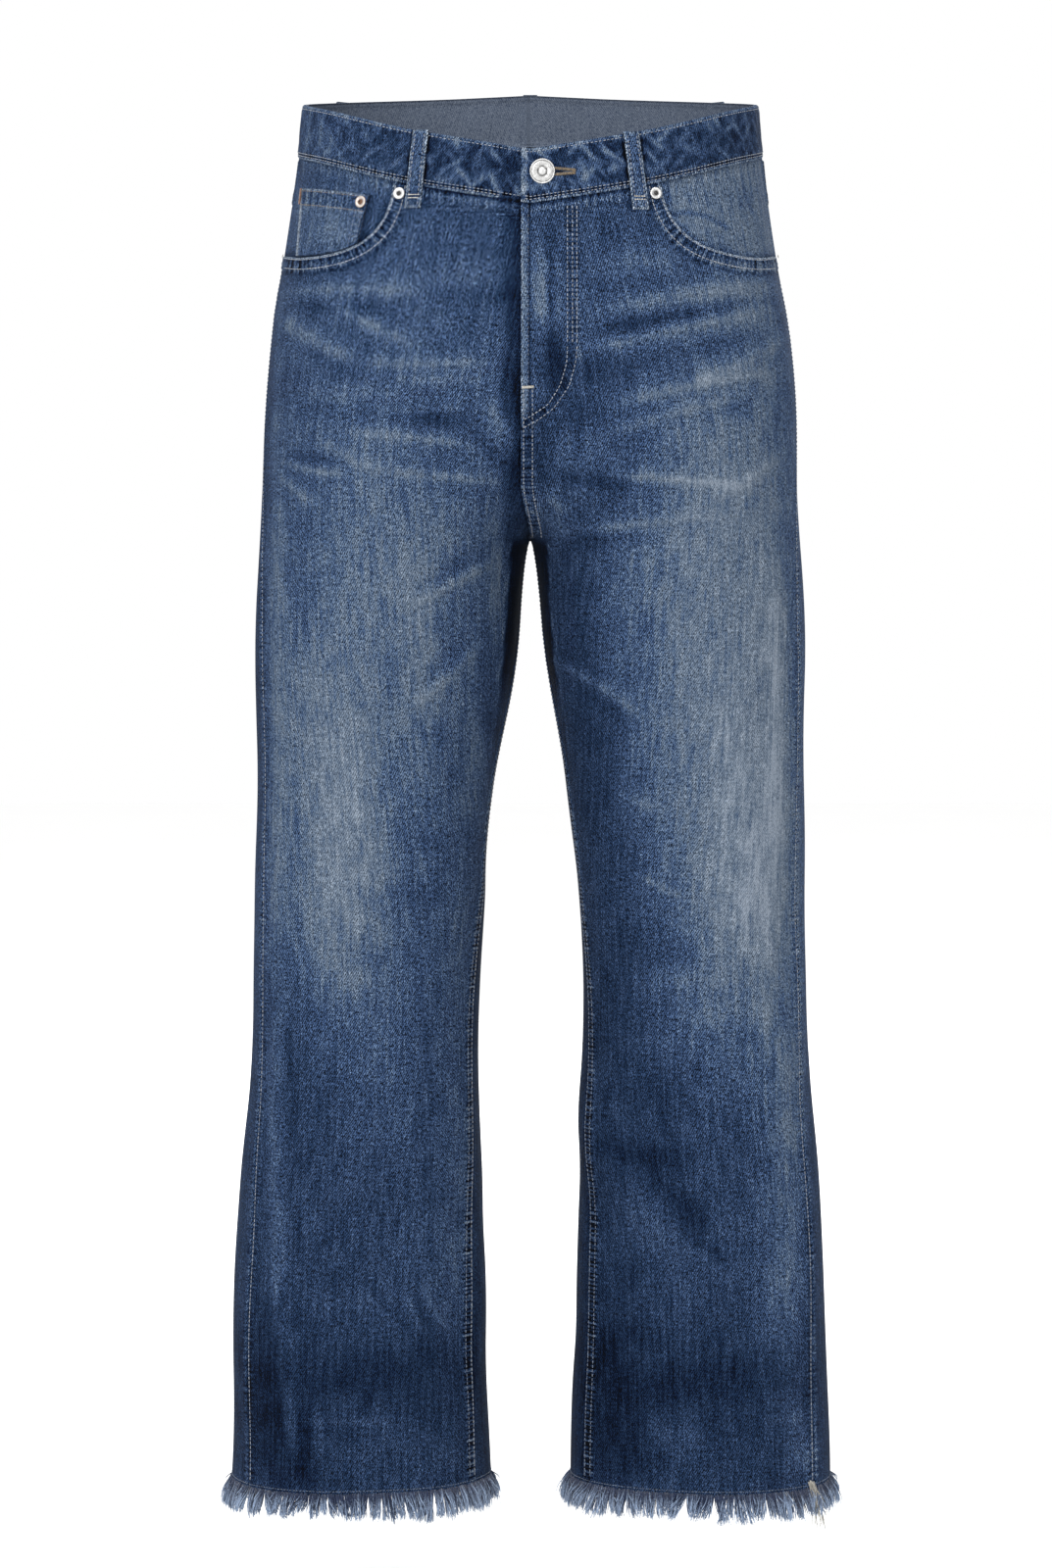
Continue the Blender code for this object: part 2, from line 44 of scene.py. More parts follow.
# The skin: the same tables and curves as the CAD source, in millimetres.
crotch, hem = -328.0, -1035.0
cloth, layerGap = 1.2, 0.8
bandHeight, bandThickness, bandLift = 40.0, 2.6, 0.9
frontShift, flyLap, lapEnds, underlap, flyWidth = -2.3, 7.0, -285.0, 24.0, 36.0
flyStraightEnds, flyEnds = -184.0, -243.0
pocketStart, pocketLow, pocketAtSide, facingEnds = 97.3, (165.0, -118.5), -114.0, -134.0
bandLevel, pocketLevel, loopWidth, loopThickness, loopBelow = -62.0, -95.0, 11.6, 2.0, 16.2
buttonX, buttonUpBand = 8.6, 0.55
yokeAtSide, yokeAtBack = 35.0, 65.0
loopAbove, pocketGap = 0.8, 1.2
pocketMarksEnd, flyMarksEnd, lapMarksEnd, sideMarksStart = -140.0, -250.0, -240.0, -112.0
legRound, roundReach, roundSoft = 560.0, 62.0, 70.0

# Level, then x and y of a leg's side, of the middle of its front and of the middle of its back.
sectionRows = (
    (20, 169.0, 2, 40, -104.0, 40, 108.0),
    (-40, 174.5, 2, 46, -108.0, 48, 112.5),
    (-82, 180.5, 2, 52, -111.5, 58, 119.0),
    (-120, 186.5, 2, 58, -115.0, 68, 127.0),
    (-160, 193.3, 2, 66, -118.5, 78, 134.0),
    (-200, 197.2, 2, 76, -120.5, 88, 138.5),
    (-240, 200.0, 2, 86, -121.0, 94, 139.0),
    (-280, 201.8, 2, 95, -119.0, 99, 135.0),
    (-328, 203.6, 1, 104, -113.0, 103, 125.0),
    (-380, 205.2, 0, 112, -106.0, 106, 112.0),
    (-440, 206.5, 0, 118, -98.5, 109, 102.0),
    (-512, 206.5, 1, 124, -88.0, 113, 92.5),
    (-586, 206.5, 3, 129, -77.5, 118, 84.5),
    (-660, 208.8, 5, 133, -71.0, 122, 81.5),
    (-734, 211.4, 6, 136, -68.0, 124, 81.5),
    (-808, 217.6, 8, 139, -66.0, 126, 82.5),
    (-881, 222.4, 9, 141, -64.0, 127, 84.0),
    (-955, 225.0, 10, 143, -62.5, 128, 85.5),
    (-1060, 226.0, 11, 145, -61.0, 128, 87.0),
)
# Level, then x and y of the leg's inside.
insideRows = (
    (20, -150.0, 0), (-120, -150.0, 4), (-200, -122.0, 8), (-240, -84.0, 10), (-260, -61.0, 12),
    (-280, -39.0, 13), (-300, -20.0, 14), (-316, -7.0, 14), (-328, 0.0, 14), (-334, 2.0, 14),
    (-346, 4.0, 13), (-364, 6.0, 12), (-401, 10.0, 9), (-438, 14.8, 7), (-512, 27.0, 5),
    (-586, 35.5, 6), (-697, 39.2, 8), (-808, 36.2, 10), (-918, 33.3, 12), (-1060, 29.5, 14),
)
# Level, then how far forward of the side and of the inside the two seams lie.
forwardRows = (
    (20, 0, 0), (-114, 0, 0), (-190, 6, 0), (-240, 17, 0), (-328, 37, 0), (-400, 45, 5),
    (-570, 43, 13), (-730, 44, 25), (-880, 47, 32), (-1060, 49, 34),
)
# u and the height of the waist seam there.
waistRows = ((0.0, -82.0), (0.17, -69.0), (0.38, -47.5), (0.5, -40.0), (0.75, -29.0), (1.0, -23.0))
# Side, u, level, half length, half width, tilt in degrees, out by.
folds = (
    (1, 0.17, -860, 110, 30, -35, -3.5), (1, 0.10, -790, 90, 26, -30, 2.5),
    (1, 0.30, -590, 160, 60, 80, 2.5), (1, 0.78, -400, 120, 30, 15, -3.5),
    (1, 0.74, -640, 90, 24, 20, -3.0), (1, 0.80, -900, 110, 28, -15, -3.0),
    (-1, 0.20, -905, 100, 30, 25, -3.0), (-1, 0.12, -560, 110, 30, 30, 2.0),
    (-1, 0.31, -620, 170, 60, 80, 2.5), (-1, 0.77, -395, 120, 32, 12, -3.5),
    (-1, 0.72, -670, 90, 26, -20, -3.0), (-1, 0.82, -880, 100, 26, 20, -2.5),
)


# A function of the first column that passes through every row, with no overshoot.
def smoothTable(rows):
    rows = np.array(sorted(rows), float)
    at, values = rows[:, 0], rows[:, 1:]
    steps = np.diff(at)[:, None]
    slopes = np.diff(values, axis=0) / steps
    tangents = np.zeros_like(values)
    tangents[0], tangents[-1] = slopes[0], slopes[-1]
    before, after = slopes[:-1], slopes[1:]
    heavier, lighter = 2 * steps[1:] + steps[:-1], steps[1:] + 2 * steps[:-1]
    with np.errstate(divide="ignore", invalid="ignore"):
        mean = (heavier + lighter) / (heavier / before + lighter / after)
    tangents[1:-1] = np.where(before * after > 0, mean, 0)

    def value(x):
        x = np.clip(np.asarray(x, float), at[0], at[-1])
        k = np.clip(np.searchsorted(at, x, side="right") - 1, 0, len(at) - 2)
        h = steps[k, 0][..., None]
        t = (x - at[k])[..., None] / h
        ends = values[k] * (1 + 2 * t) * (1 - t) ** 2 + values[k + 1] * t * t * (3 - 2 * t)
        return ends + h * t * (1 - t) * (tangents[k] * (1 - t) - tangents[k + 1] * t)

    return value


sectionTable, insideTable = smoothTable(sectionRows), smoothTable(insideRows)
forwardTable, waistTable = smoothTable(forwardRows), smoothTable(waistRows)


def smoothstep(t):
    t = np.clip(t, 0.0, 1.0)
    return t * t * (3 - 2 * t)


# 1 between start and end of a distance, with soft shoulders.
def bump(d, start, end, soft):
    return smoothstep((d - start) / soft + 0.5) * (1 - smoothstep((d - end) / soft + 0.5))


def line(d, at, width):
    return np.exp(-(((d - at) / width) ** 2))


def together(*values):
    return np.broadcast_arrays(*(np.asarray(value, float) for value in values))


# The length so far at each of a row of points, and the places at given lengths.
def runOf(points):
    return np.concatenate([[0], np.cumsum(np.linalg.norm(np.diff(points, axis=0), axis=1))])


def placesAt(lengths, run, points):
    return np.stack([np.interp(lengths, run, points[:, k]) for k in range(points.shape[1])], -1)


def bezier(a, b, c, d, steps=48):
    t = np.linspace(0, 1, steps + 1)[:, None]
    a, b, c, d = (np.array(p, float) for p in (a, b, c, d))
    return a * (1 - t) ** 3 + 3 * b * t * (1 - t) ** 2 + 3 * c * t * t * (1 - t) + d * t**3


def quarter(start, corner, end, roundness):
    start, corner, end = (np.array(p, float) for p in (start, corner, end))
    return bezier(start, start + roundness * (corner - start), end + roundness * (corner - end), end)


def meetAtCentre(half, z):
    width = roundReach * (1 - math.exp((crotch - z) / roundSoft))
    rising = half[: len(half) // 2 + 1]
    before, at, after = (np.interp(width * step, rising[:, 0], rising[:, 1]) for step in (0.95, 1, 1.05))
    slope = (after - before) / (0.1 * width)
    x = np.linspace(0, width, 9)[:-1]
    rounded = np.column_stack([x, at + slope * (x * x - width * width) / (2 * width)])
    return np.concatenate([rounded, half[half[:, 0] > width]])


uSteps = 480
uGrid = np.linspace(0, 1, uSteps + 1)


# Half a level section on an even grid of u, and the lengths of its front and back.
def sectionAt(z):
    sideX, sideY, frontX, frontY, backX, backY = sectionTable(z)
    inX, inY = insideTable(z)
    outer = 0.57 + 0.04 * float(smoothstep((crotch - z) / 400))
    halves = []
    for x, y in ((frontX, frontY), (backX, backY)):
        inner = quarter((inX, inY), (inX, y), (x, y), 0.56)
        half = np.concatenate([inner, quarter((x, y), (sideX, y), (sideX, sideY), outer)[1:]])
        halves.append(meetAtCentre(half, z) if z > crotch else half)
    front, back = halves[0], halves[1][::-1]
    run = [runOf(h) for h in (front, back)]
    u = np.concatenate([0.5 * run[0] / run[0][-1], 0.5 + 0.5 * run[1][1:] / run[1][-1]])
    return placesAt(uGrid, u, np.concatenate([front, back[1:]])), run[0][-1], run[1][-1]


levelStops = ((24, -300, -1.0), (-300, -345, -0.25), (-345, -1066, -2.5))  # closest at the crotch
levels = np.concatenate([np.arange(*stops) for stops in levelStops])
sections = zip(*(sectionAt(float(z)) for z in levels))
skinTable, frontLengths, backLengths = (np.array(found) for found in sections)


def frontLength(z):
    return np.interp(-np.asarray(z, float), -levels, frontLengths)


def backLength(z):
    return np.interp(-np.asarray(z, float), -levels, backLengths)


# The skin before its folds, in millimetres: u crosses the centre planes, or runs on round the leg.
def flatSkin(side, u, z):
    side, u, z = together(side, u, z)
    torso = z >= crotch
    over = torso & ((u < 0) | (u > 1))
    around = np.where(torso, np.where(u < 0, -u, np.where(u > 1, 2 - u, u)), u % 1.0)
    k = np.clip(np.searchsorted(-levels, -z, side="right") - 1, 0, len(levels) - 2)
    t = ((levels[k] - z) / (levels[k] - levels[k + 1]))[..., None]
    at = around * uSteps
    i = np.minimum(at.astype(int), uSteps - 1)
    s = (at - i)[..., None]
    upper = skinTable[k, i] * (1 - s) + skinTable[k, i + 1] * s
    lower = skinTable[k + 1, i] * (1 - s) + skinTable[k + 1, i + 1] * s
    p = upper * (1 - t) + lower * t
    return np.stack([np.where(over, -side, side) * p[..., 0], p[..., 1], z], axis=-1)


def tilted(across, up, tilt, wide, high):
    c, s = math.cos(math.radians(tilt)), math.sin(math.radians(tilt))
    return (across * c + up * s) / wide, (up * c - across * s) / high


def foldAt(side, u, z):
    side, u, z = together(side, u, z)
    over = (z >= crotch) & (u < 0)
    side, u = np.where(over, -side, side), np.where(over, -u, u)
    depth = np.zeros_like(u)
    for foldSide, foldU, foldZ, length, width, tilt, deep in folds:
        across = np.where(z >= crotch, u - foldU, (u - foldU + 0.5) % 1.0 - 0.5) * legRound
        along, off = tilted(across, z - foldZ, tilt, length, width)
        depth += np.where(side == foldSide, deep * np.exp(-along * along - off * off), 0)
    return depth


def outward(side, u, z):
    side, u, z = together(side, u, z)
    step = np.where(z >= crotch, 1.0, -1.0)
    along = flatSkin(side, u + 0.004, z) - flatSkin(side, u - 0.004, z)
    up = (flatSkin(side, u, z + step) - flatSkin(side, u, z)) / step[..., None]
    out = np.cross(along, up) * side[..., None]
    return out / np.linalg.norm(out, axis=-1, keepdims=True)


def skin(side, u, z, lift=0.0):
    lift = np.asarray(lift, float) + foldAt(side, u, z)
    return flatSkin(side, u, z) + outward(side, u, z) * lift[..., None]


# u on the front half where the skin is x from the centre plane, for numbers or arrays.
def uOf(x, z):
    x, z = together(x, z)
    found = np.empty(x.shape)
    half = uSteps // 2 + 1
    for index in np.ndindex(x.shape):
        k = int(np.argmin(np.abs(levels - z[index])))
        found[index] = math.copysign(np.interp(abs(x[index]), skinTable[k, :half, 0], uGrid[:half]), x[index])
    return found if found.shape else float(found)


def frontU(z, length):
    return 0.5 * length / frontLength(z)


def outseamU(z):
    return 0.5 - frontU(z, forwardTable(z)[..., 0])


def frontEdgeU(side, z):
    lap = -side * frontU(z, flyLap * smoothstep((z - crotch) / (lapEnds - crotch)))
    return np.where(z < crotch, frontU(z, forwardTable(z)[..., 1]), lap)


def waistSeam(u):
    return waistTable(np.abs(u))[..., 0]


def yokeSeam(u):
    return waistSeam(u) - yokeAtSide - (yokeAtBack - yokeAtSide) * (2 * u - 1)


def pocketMouth(side):
    start = pocketStart + side * frontShift
    scoop = bezier((start, -62), (start + 2.5, -98), (122, -118.5), pocketLow, 24)
    atSide = (float(sectionTable(pocketAtSide)[0]), pocketAtSide)
    rise = bezier(pocketLow, (173, -118.5), (180, -116.5), atSide, 8)
    return np.concatenate([scoop, rise[1:]])


mouths = {side: pocketMouth(side) for side in (1, -1)}
mouthU = {side: uOf(mouths[side][:, 0], mouths[side][:, 1]) for side in (1, -1)}


def frontTop(side, u):
    scoop = np.where(u > mouthU[side][0], np.interp(u, mouthU[side], mouths[side][:, 1]), 0.0)
    return np.minimum(waistSeam(u), scoop)


# Length along the cloth from the side seam, in millimetres.
def clothRun(side, u, z):
    return (2 * u - 1) * np.where(u <= 0.5, frontLength(z), backLength(z)) * side


# Distance from each point to a route of points, how far along it the nearest place is, and its length.
def nearLine(px, pz, route):
    best, along, run = np.full(np.shape(px), 1e9), np.zeros(np.shape(px)), 0.0
    for (ax, az), (bx, bz) in zip(route[:-1], route[1:]):
        dx, dz = bx - ax, bz - az
        length = math.hypot(dx, dz) + 1e-9
        t = np.clip(((px - ax) * dx + (pz - az) * dz) / length**2, 0, 1)
        d = np.hypot(px - ax - t * dx, pz - az - t * dz)
        along = np.where(d < best, run + t * length, along)
        best = np.minimum(best, d)
        run += length
    return best, along, run


# Fades and creases, in units of the picture: where a place is seen from the front, and for the back as if
# seen from behind with left and right kept. Besides real fades, the pools and strokes paint highlights on
# fold ridges and shade in crease valleys, at fold edges and along the legs' sides.
picture = {"centre": 541.0, "level": 520.0, "height": -305.0, "mmPerUnit": 0.739, "distance": 3300.0}


def seen(points, facing):
    near = picture["mmPerUnit"] * (picture["distance"] + facing * points[..., 1]) / picture["distance"]
    across = picture["centre"] + points[..., 0] / near
    return across, picture["level"] - (points[..., 2] - picture["height"]) / near


# x, y, half width, half height, tilt in degrees, lighter by
frontPools = (
    (352, 700, 52, 190, 3, 0.38), (345, 880, 42, 150, 4, 0.46), (378, 985, 50, 90, -12, 0.24),
    (430, 560, 80, 75, 0, 0.26), (330, 600, 60, 90, 0, -0.06), (400, 340, 120, 60, 0, 0.06),
    (395, 1120, 55, 90, -8, 0.20), (340, 1240, 80, 120, 0, 0.06), (430, 1290, 50, 60, 0, 0.12),
    (735, 660, 62, 170, -4, 0.46), (748, 860, 50, 150, 0, 0.62), (725, 980, 62, 80, 10, 0.28),
    (735, 500, 70, 60, 0, 0.34), (715, 400, 100, 80, 0, 0.18), (660, 590, 70, 60, 0, 0.16),
    (735, 1090, 60, 80, 0, 0.18), (690, 1260, 55, 80, 0, 0.14), (770, 1290, 45, 90, 0, 0.08),
    (512, 640, 20, 150, 3, -0.24), (498, 900, 18, 170, 2, -0.16), (520, 470, 16, 90, 0, -0.20),
    (585, 720, 34, 140, -6, -0.30), (615, 930, 36, 150, -4, -0.20), (575, 560, 30, 60, 0, -0.18),
    (425, 1394, 60, 20, 0, -0.10), (355, 1410, 40, 22, 8, -0.11), (685, 1414, 44, 24, 12, -0.14),
    (752, 1398, 46, 20, -10, -0.15), (625, 1330, 40, 90, 0, -0.12), (265, 1380, 30, 110, 0, -0.06),
    (700, 1500, 110, 30, 0, 0.05), (400, 1482, 80, 34, 0, 0.14), (400, 1335, 84, 28, 0, 0.08),
    (284, 1440, 34, 84, -6, -0.27), (620, 1440, 32, 80, 0, -0.20), (694, 1466, 42, 24, 0, 0.12),
    (806, 1130, 18, 240, 0, 0.30), (336, 430, 60, 36, 0, 0.06), (752, 446, 40, 22, 0, 0.10),
    (484, 1490, 8, 36, 0, 0.20), (255, 680, 20, 260, 0, -0.40), (818, 700, 14, 120, 0, -0.08),
    (640, 425, 50, 30, -10, -0.20), (470, 720, 24, 80, 6, 0.13), (272, 380, 14, 120, 0, -0.20),
    (523, 380, 10, 170, 0, -0.26), (590, 415, 22, 22, 0, -0.18), (455, 428, 26, 12, 5, -0.20),
    (565, 368, 11, 34, 0, -0.55), (551, 300, 6, 46, 0, 0.55), (640, 285, 60, 16, 8, -0.08),
    (543, 310, 3, 50, 0, 0.20), (562, 290, 4, 60, 0, -0.22), (570, 300, 3, 60, 0, 0.24),
    (440, 285, 70, 14, 0, 0.14), (480, 300, 60, 8, 2, -0.16), (430, 425, 34, 8, 4, -0.20),
    (650, 270, 60, 14, -6, 0.20), (760, 268, 40, 10, 0, 0.20), (480, 268, 55, 10, 0, 0.10),
    (440, 232, 40, 22, 0, 0.06), (650, 240, 20, 30, 0, 0.10), (672, 1183, 20, 14, 20, -0.20),
    (702, 1236, 24, 22, 40, -0.22), (655, 1240, 30, 40, 0, 0.10), (600, 1215, 12, 60, 0, -0.08),
    (640, 760, 40, 90, 0, 0.06), (424, 690, 26, 130, 0, 0.27), (300, 260, 30, 60, 0, -0.05),
    (305, 740, 22, 90, 0, 0.13), (388, 868, 26, 36, 0, 0.16), (466, 1110, 20, 250, 1, 0.24),
    (488, 790, 12, 50, 0, 0.18), (385, 468, 46, 34, 0, 0.17), (286, 500, 12, 34, 0, -0.24),
    (308, 338, 24, 16, 0, -0.08), (508, 450, 14, 60, 0, 0.18), (507, 600, 9, 90, 0, 0.24),
    (548, 460, 12, 56, 0, -0.24), (540, 345, 16, 30, 0, -0.18), (612, 378, 40, 22, -4, -0.30),
    (655, 338, 40, 18, -4, -0.18), (675, 505, 46, 40, 0, -0.12), (608, 600, 22, 80, 0, -0.18),
    (626, 780, 18, 50, 0, -0.13), (680, 770, 28, 100, 0, 0.14), (722, 784, 14, 40, 0, -0.15),
    (778, 600, 20, 110, 0, 0.30), (780, 880, 22, 90, 0, 0.28), (796, 780, 16, 120, 0, 0.16),
    (782, 1150, 18, 220, 0, 0.20), (800, 1340, 20, 60, 0, 0.20), (815, 1470, 18, 50, 0, 0.22),
    (745, 300, 50, 24, -4, 0.26), (770, 335, 30, 20, 0, 0.22), (782, 405, 14, 40, 0, 0.22),
    (690, 955, 50, 30, 0, -0.17), (680, 1140, 45, 60, 0, -0.12), (650, 1480, 30, 36, 0, -0.12),
    (305, 1455, 20, 30, 0, 0.12), (292, 1120, 16, 120, 0, -0.10), (508, 600, 9, 100, 0, 0.20),
    (566, 535, 14, 26, 0, 0.20), (552, 462, 14, 40, 0, -0.12), (520, 465, 10, 40, 0, 0.14),
    (648, 455, 18, 18, 0, -0.12), (772, 318, 18, 34, 0, 0.14), (766, 920, 12, 50, 0, 0.20),
    (690, 978, 50, 18, 0, -0.14), (318, 705, 18, 44, 0, 0.14), (432, 660, 16, 70, 0, 0.15),
    (490, 770, 10, 50, 0, 0.15), (392, 893, 24, 16, 0, 0.14), (360, 1135, 60, 18, 0, -0.09),
    (470, 1260, 12, 90, 0, 0.12), (345, 1458, 34, 16, 0, -0.10), (620, 1335, 30, 16, 0, 0.10),
    (808, 1240, 10, 100, 0, 0.14), (822, 1490, 14, 22, 0, 0.16),
)
# start, turn, end, half width, lighter by, out by; the dark sunk strokes are painted shade in crease valleys
frontStrokes = (
    ((281, 300), (350, 290), (440, 301), 6, 0.20, 0.5), ((285, 322), (318, 352), (362, 371), 7, 0.25, 0.9),
    ((366, 370), (430, 374), (505, 368), 5, 0.20, 0.5), ((336, 310), (376, 330), (420, 352), 6, 0.23, 0.5),
    ((300, 312), (340, 318), (400, 316), 6, -0.12, -0.4),
    ((300, 345), (340, 372), (372, 384), 6, -0.14, -0.5),
    ((396, 386), (440, 388), (496, 386), 6, 0.12, 0.4), ((373, 420), (420, 418), (476, 417), 4, 0.14, 0.4),
    ((352, 440), (420, 446), (486, 455), 5, 0.20, 0.6), ((322, 446), (346, 466), (384, 480), 6, 0.16, 0.5),
    ((384, 480), (440, 486), (510, 491), 4, 0.20, 0.6), ((285, 468), (306, 482), (352, 483), 4, 0.26, 0.7),
    ((286, 481), (296, 499), (320, 514), 5, 0.20, 0.6),
    ((292, 466), (325, 470), (350, 470), 5, -0.12, -0.4),
    ((492, 409), (515, 432), (529, 460), 6, 0.14, 0.4),
    ((480, 440), (505, 468), (522, 480), 6, -0.14, -0.5),
    ((300, 398), (360, 404), (420, 402), 7, 0.08, 0.3),
    ((300, 410), (340, 428), (380, 430), 7, -0.06, -0.3),
    ((612, 318), (700, 298), (788, 291), 7, 0.20, 0.6), ((593, 360), (654, 344), (778, 318), 6, 0.22, 0.7),
    ((600, 338), (690, 322), (790, 305), 5, -0.14, -0.5),
    ((640, 372), (720, 360), (790, 335), 7, -0.12, -0.5),
    ((700, 388), (756, 378), (800, 346), 6, 0.21, 0.8), ((620, 416), (692, 393), (795, 378), 6, 0.28, 0.8),
    ((602, 448), (654, 431), (765, 402), 6, 0.20, 0.6),
    ((640, 440), (700, 424), (790, 402), 7, -0.06, -0.3),
    ((623, 485), (692, 488), (762, 497), 4, 0.28, 0.7),
    ((558, 484), (600, 492), (650, 496), 6, -0.16, -0.5),
    ((730, 508), (768, 492), (797, 462), 5, 0.20, 0.6), ((554, 503), (562, 513), (578, 522), 4, 0.18, 0.5),
    ((577, 541), (654, 537), (732, 524), 4, 0.16, 0.4),
    ((570, 556), (620, 552), (680, 548), 7, -0.08, -0.3),
    ((411, 621), (462, 598), (506, 570), 4, 0.18, 0.8),
    ((420, 606), (455, 588), (500, 560), 7, -0.10, -0.6),
    ((414, 723), (455, 700), (489, 657), 5, 0.17, 0.8),
    ((420, 705), (450, 686), (478, 650), 7, -0.08, -0.5),
    ((562, 672), (618, 698), (654, 731), 4, 0.16, 0.7),
    ((590, 700), (622, 724), (648, 744), 7, -0.10, -0.5),
    ((630, 807), (652, 820), (678, 826), 4, 0.12, 0.4), ((650, 891), (676, 908), (702, 916), 3, 0.18, 0.5),
    ((366, 1313), (390, 1334), (411, 1360), 3, 0.12, 0.6),
    ((416, 1322), (424, 1340), (430, 1358), 3, 0.14, 0.6),
    ((436, 1324), (446, 1342), (462, 1358), 3, 0.16, 0.6),
    ((372, 1312), (396, 1336), (418, 1362), 4, -0.10, -0.6),
    ((424, 1322), (436, 1344), (444, 1362), 4, -0.10, -0.6),
    ((305, 1450), (350, 1449), (412, 1452), 3, 0.12, 0.2),
    ((606, 1164), (628, 1170), (650, 1188), 9, -0.10, -1.0),
    ((640, 1180), (690, 1222), (728, 1270), 12, -0.10, -1.5),
    ((700, 1262), (722, 1270), (740, 1290), 4, -0.12, -0.7),
    ((655, 1175), (705, 1210), (745, 1258), 10, 0.04, 0.6),
    ((322, 1430), (324, 1480), (331, 1530), 5, 0.10, 0.9),
    ((308, 1425), (308, 1480), (314, 1528), 7, -0.12, -0.8),
    ((770, 1455), (800, 1448), (828, 1442), 2, 0.08, 0.2),
    ((596, 1450), (610, 1444), (640, 1450), 2, 0.06, 0.2),
    ((286, 430), (284, 700), (285, 1000), 7, 0.20, 0.5),
    ((285, 1000), (281, 1180), (284, 1350), 7, 0.20, 0.7),
    ((283, 1330), (292, 1420), (306, 1490), 7, 0.09, 0.5),
    ((791, 560), (793, 760), (788, 900), 7, 0.22, 0.5), ((789, 900), (783, 980), (776, 1080), 7, 0.14, 0.5),
    ((800, 1040), (806, 1120), (804, 1200), 9, 0.10, 0.4),
    ((286, 300), (279, 400), (281, 520), 5, 0.10, 0.2),
    ((300, 1360), (292, 1420), (300, 1500), 6, 0.08, 0.6),
)
backPools = (
    (440, 300, 90, 110, 0, 0.20), (640, 300, 90, 110, 0, 0.22), (370, 700, 60, 200, 0, 0.14),
    (720, 700, 60, 200, 0, 0.14), (380, 1200, 80, 120, 0, 0.06), (715, 1200, 80, 120, 0, 0.06),
    (380, 1400, 110, 40, 0, -0.12), (700, 1400, 110, 40, 0, -0.12), (541, 420, 40, 120, 0, -0.14),
    (500, 640, 30, 200, 0, -0.16), (585, 640, 30, 200, 0, -0.16),
)
backStrokes = (
    ((440, 470), (400, 492), (330, 486), 7, 0.16, 1.2), ((450, 500), (400, 522), (320, 520), 7, 0.12, 1.1),
    ((445, 486), (400, 508), (325, 503), 7, -0.12, -1.2),
    ((640, 466), (690, 492), (760, 480), 7, 0.16, 1.2), ((632, 498), (690, 522), (770, 516), 7, 0.12, 1.1),
    ((636, 482), (690, 507), (765, 498), 7, -0.12, -1.2),
    ((470, 560), (430, 600), (360, 612), 7, 0.12, 1.0), ((612, 560), (660, 604), (720, 612), 7, 0.12, 1.0),
    ((350, 820), (400, 835), (460, 820), 8, 0.12, 1.2), ((345, 860), (400, 872), (455, 862), 8, 0.10, 1.2),
    ((348, 840), (400, 854), (458, 842), 8, -0.10, -1.2),
    ((640, 822), (690, 838), (750, 824), 8, 0.12, 1.2), ((645, 862), (700, 876), (750, 864), 8, 0.10, 1.2),
    ((642, 842), (696, 857), (750, 844), 8, -0.10, -1.2),
    ((330, 1180), (380, 1200), (420, 1240), 8, -0.08, -1.2),
    ((740, 1160), (700, 1190), (660, 1230), 8, -0.08, -1.2),
    ((541, 300), (500, 330), (450, 330), 8, 0.08, 0.8), ((541, 300), (580, 330), (640, 332), 8, 0.08, 0.8),
)


# How much lighter and how far out the listed fades and creases make each place, painted highlights and
# painted shade among them.
def drawn(points, facing, pools, strokes):
    x, y = seen(points, facing)
    light, out = np.zeros(x.shape), np.zeros(x.shape)
    for poolX, poolY, wide, high, tilt, by in pools:
        a, b = tilted(x - poolX, y - poolY, tilt, wide, high)
        light += by * np.exp(-((a * a + b * b) ** 1.25))
    t = np.linspace(0, 1, 9)[:, None]
    for start, turn, end, width, by, lift in strokes:
        stroke = np.array(start) * (1 - t) ** 2 + 2 * t * (1 - t) * np.array(turn) + t * t * np.array(end)
        low, high = stroke.min(0) - 3 * width, stroke.max(0) + 3 * width
        close = (x > low[0]) & (x < high[0]) & (y > low[1]) & (y < high[1])
        if not close.any():
            continue
        d, along, run = nearLine(x[close], y[close], stroke)
        fade = 0.25 + 0.75 * smoothstep(along / (0.22 * run)) * smoothstep((run - along) / (0.22 * run))
        core = 0.5 if width < 6.5 and by > 0 else 0.0
        light[close] += by * (core * line(d, 0, 0.55 * width) + (1.8 - core) * line(d, 0, 1.4 * width)) * fade
        out[close] += 1.7 * lift * line(d, 0, width) * fade
    return light, out


ripples = [
    (rng.uniform(0.7, 1.3), rng.uniform(0, 6.3), rng.uniform(60, 170), rng.uniform(0, 3.14))
    for _ in range(14)
]


# The low waves that worn cloth has everywhere, in millimetres.
def unevenness(points):
    total, run = np.zeros(points.shape[:-1]), points[..., 0] + 0.9 * points[..., 1]
    for size, phase, length, turn in ripples:
        across, up = run * math.cos(turn), points[..., 2] * 0.6 * math.sin(turn)
        total += size * np.sin(6.283 * (across + up) / length + phase)
    return 0.26 * total


# Lightness and relief from the listed marks, blended between front and back.
def wornAndPaintedLight(side, u, z):
    points, out = flatSkin(side, u, z), outward(side, u, z)
    front = smoothstep((0.25 - out[..., 1]) / 0.5)
    lightF, outF = drawn(points, 1, frontPools, frontStrokes)
    lightB, outB = drawn(points, -1, backPools, backStrokes)
    grazing = 1 - np.abs(out[..., 1])
    # Painted shade where the cloth turns edge-on to the camera, towards the legs' sides.
    light = front * lightF + (1 - front) * lightB - 0.10 * smoothstep((grazing - 0.55) / 0.4)
    return light, front * outF + (1 - front) * outB + unevenness(points)


# Height in the picture, lightness of the plain cloth there.
baseRows = (
    (150, 0.18), (230, 0.20), (300, 0.28), (420, 0.30), (520, 0.34), (640, 0.35), (800, 0.34), (930, 0.30),
    (1050, 0.12), (1180, 0.07), (1300, 0.07), (1380, -0.03), (1450, -0.01), (1500, 0.02), (1560, 0.02),
)


def baseLight(points):
    y = 0.5 * (seen(points, 1)[1] + seen(points, -1)[1])
    return np.interp(y, *zip(*baseRows)) - 0.30


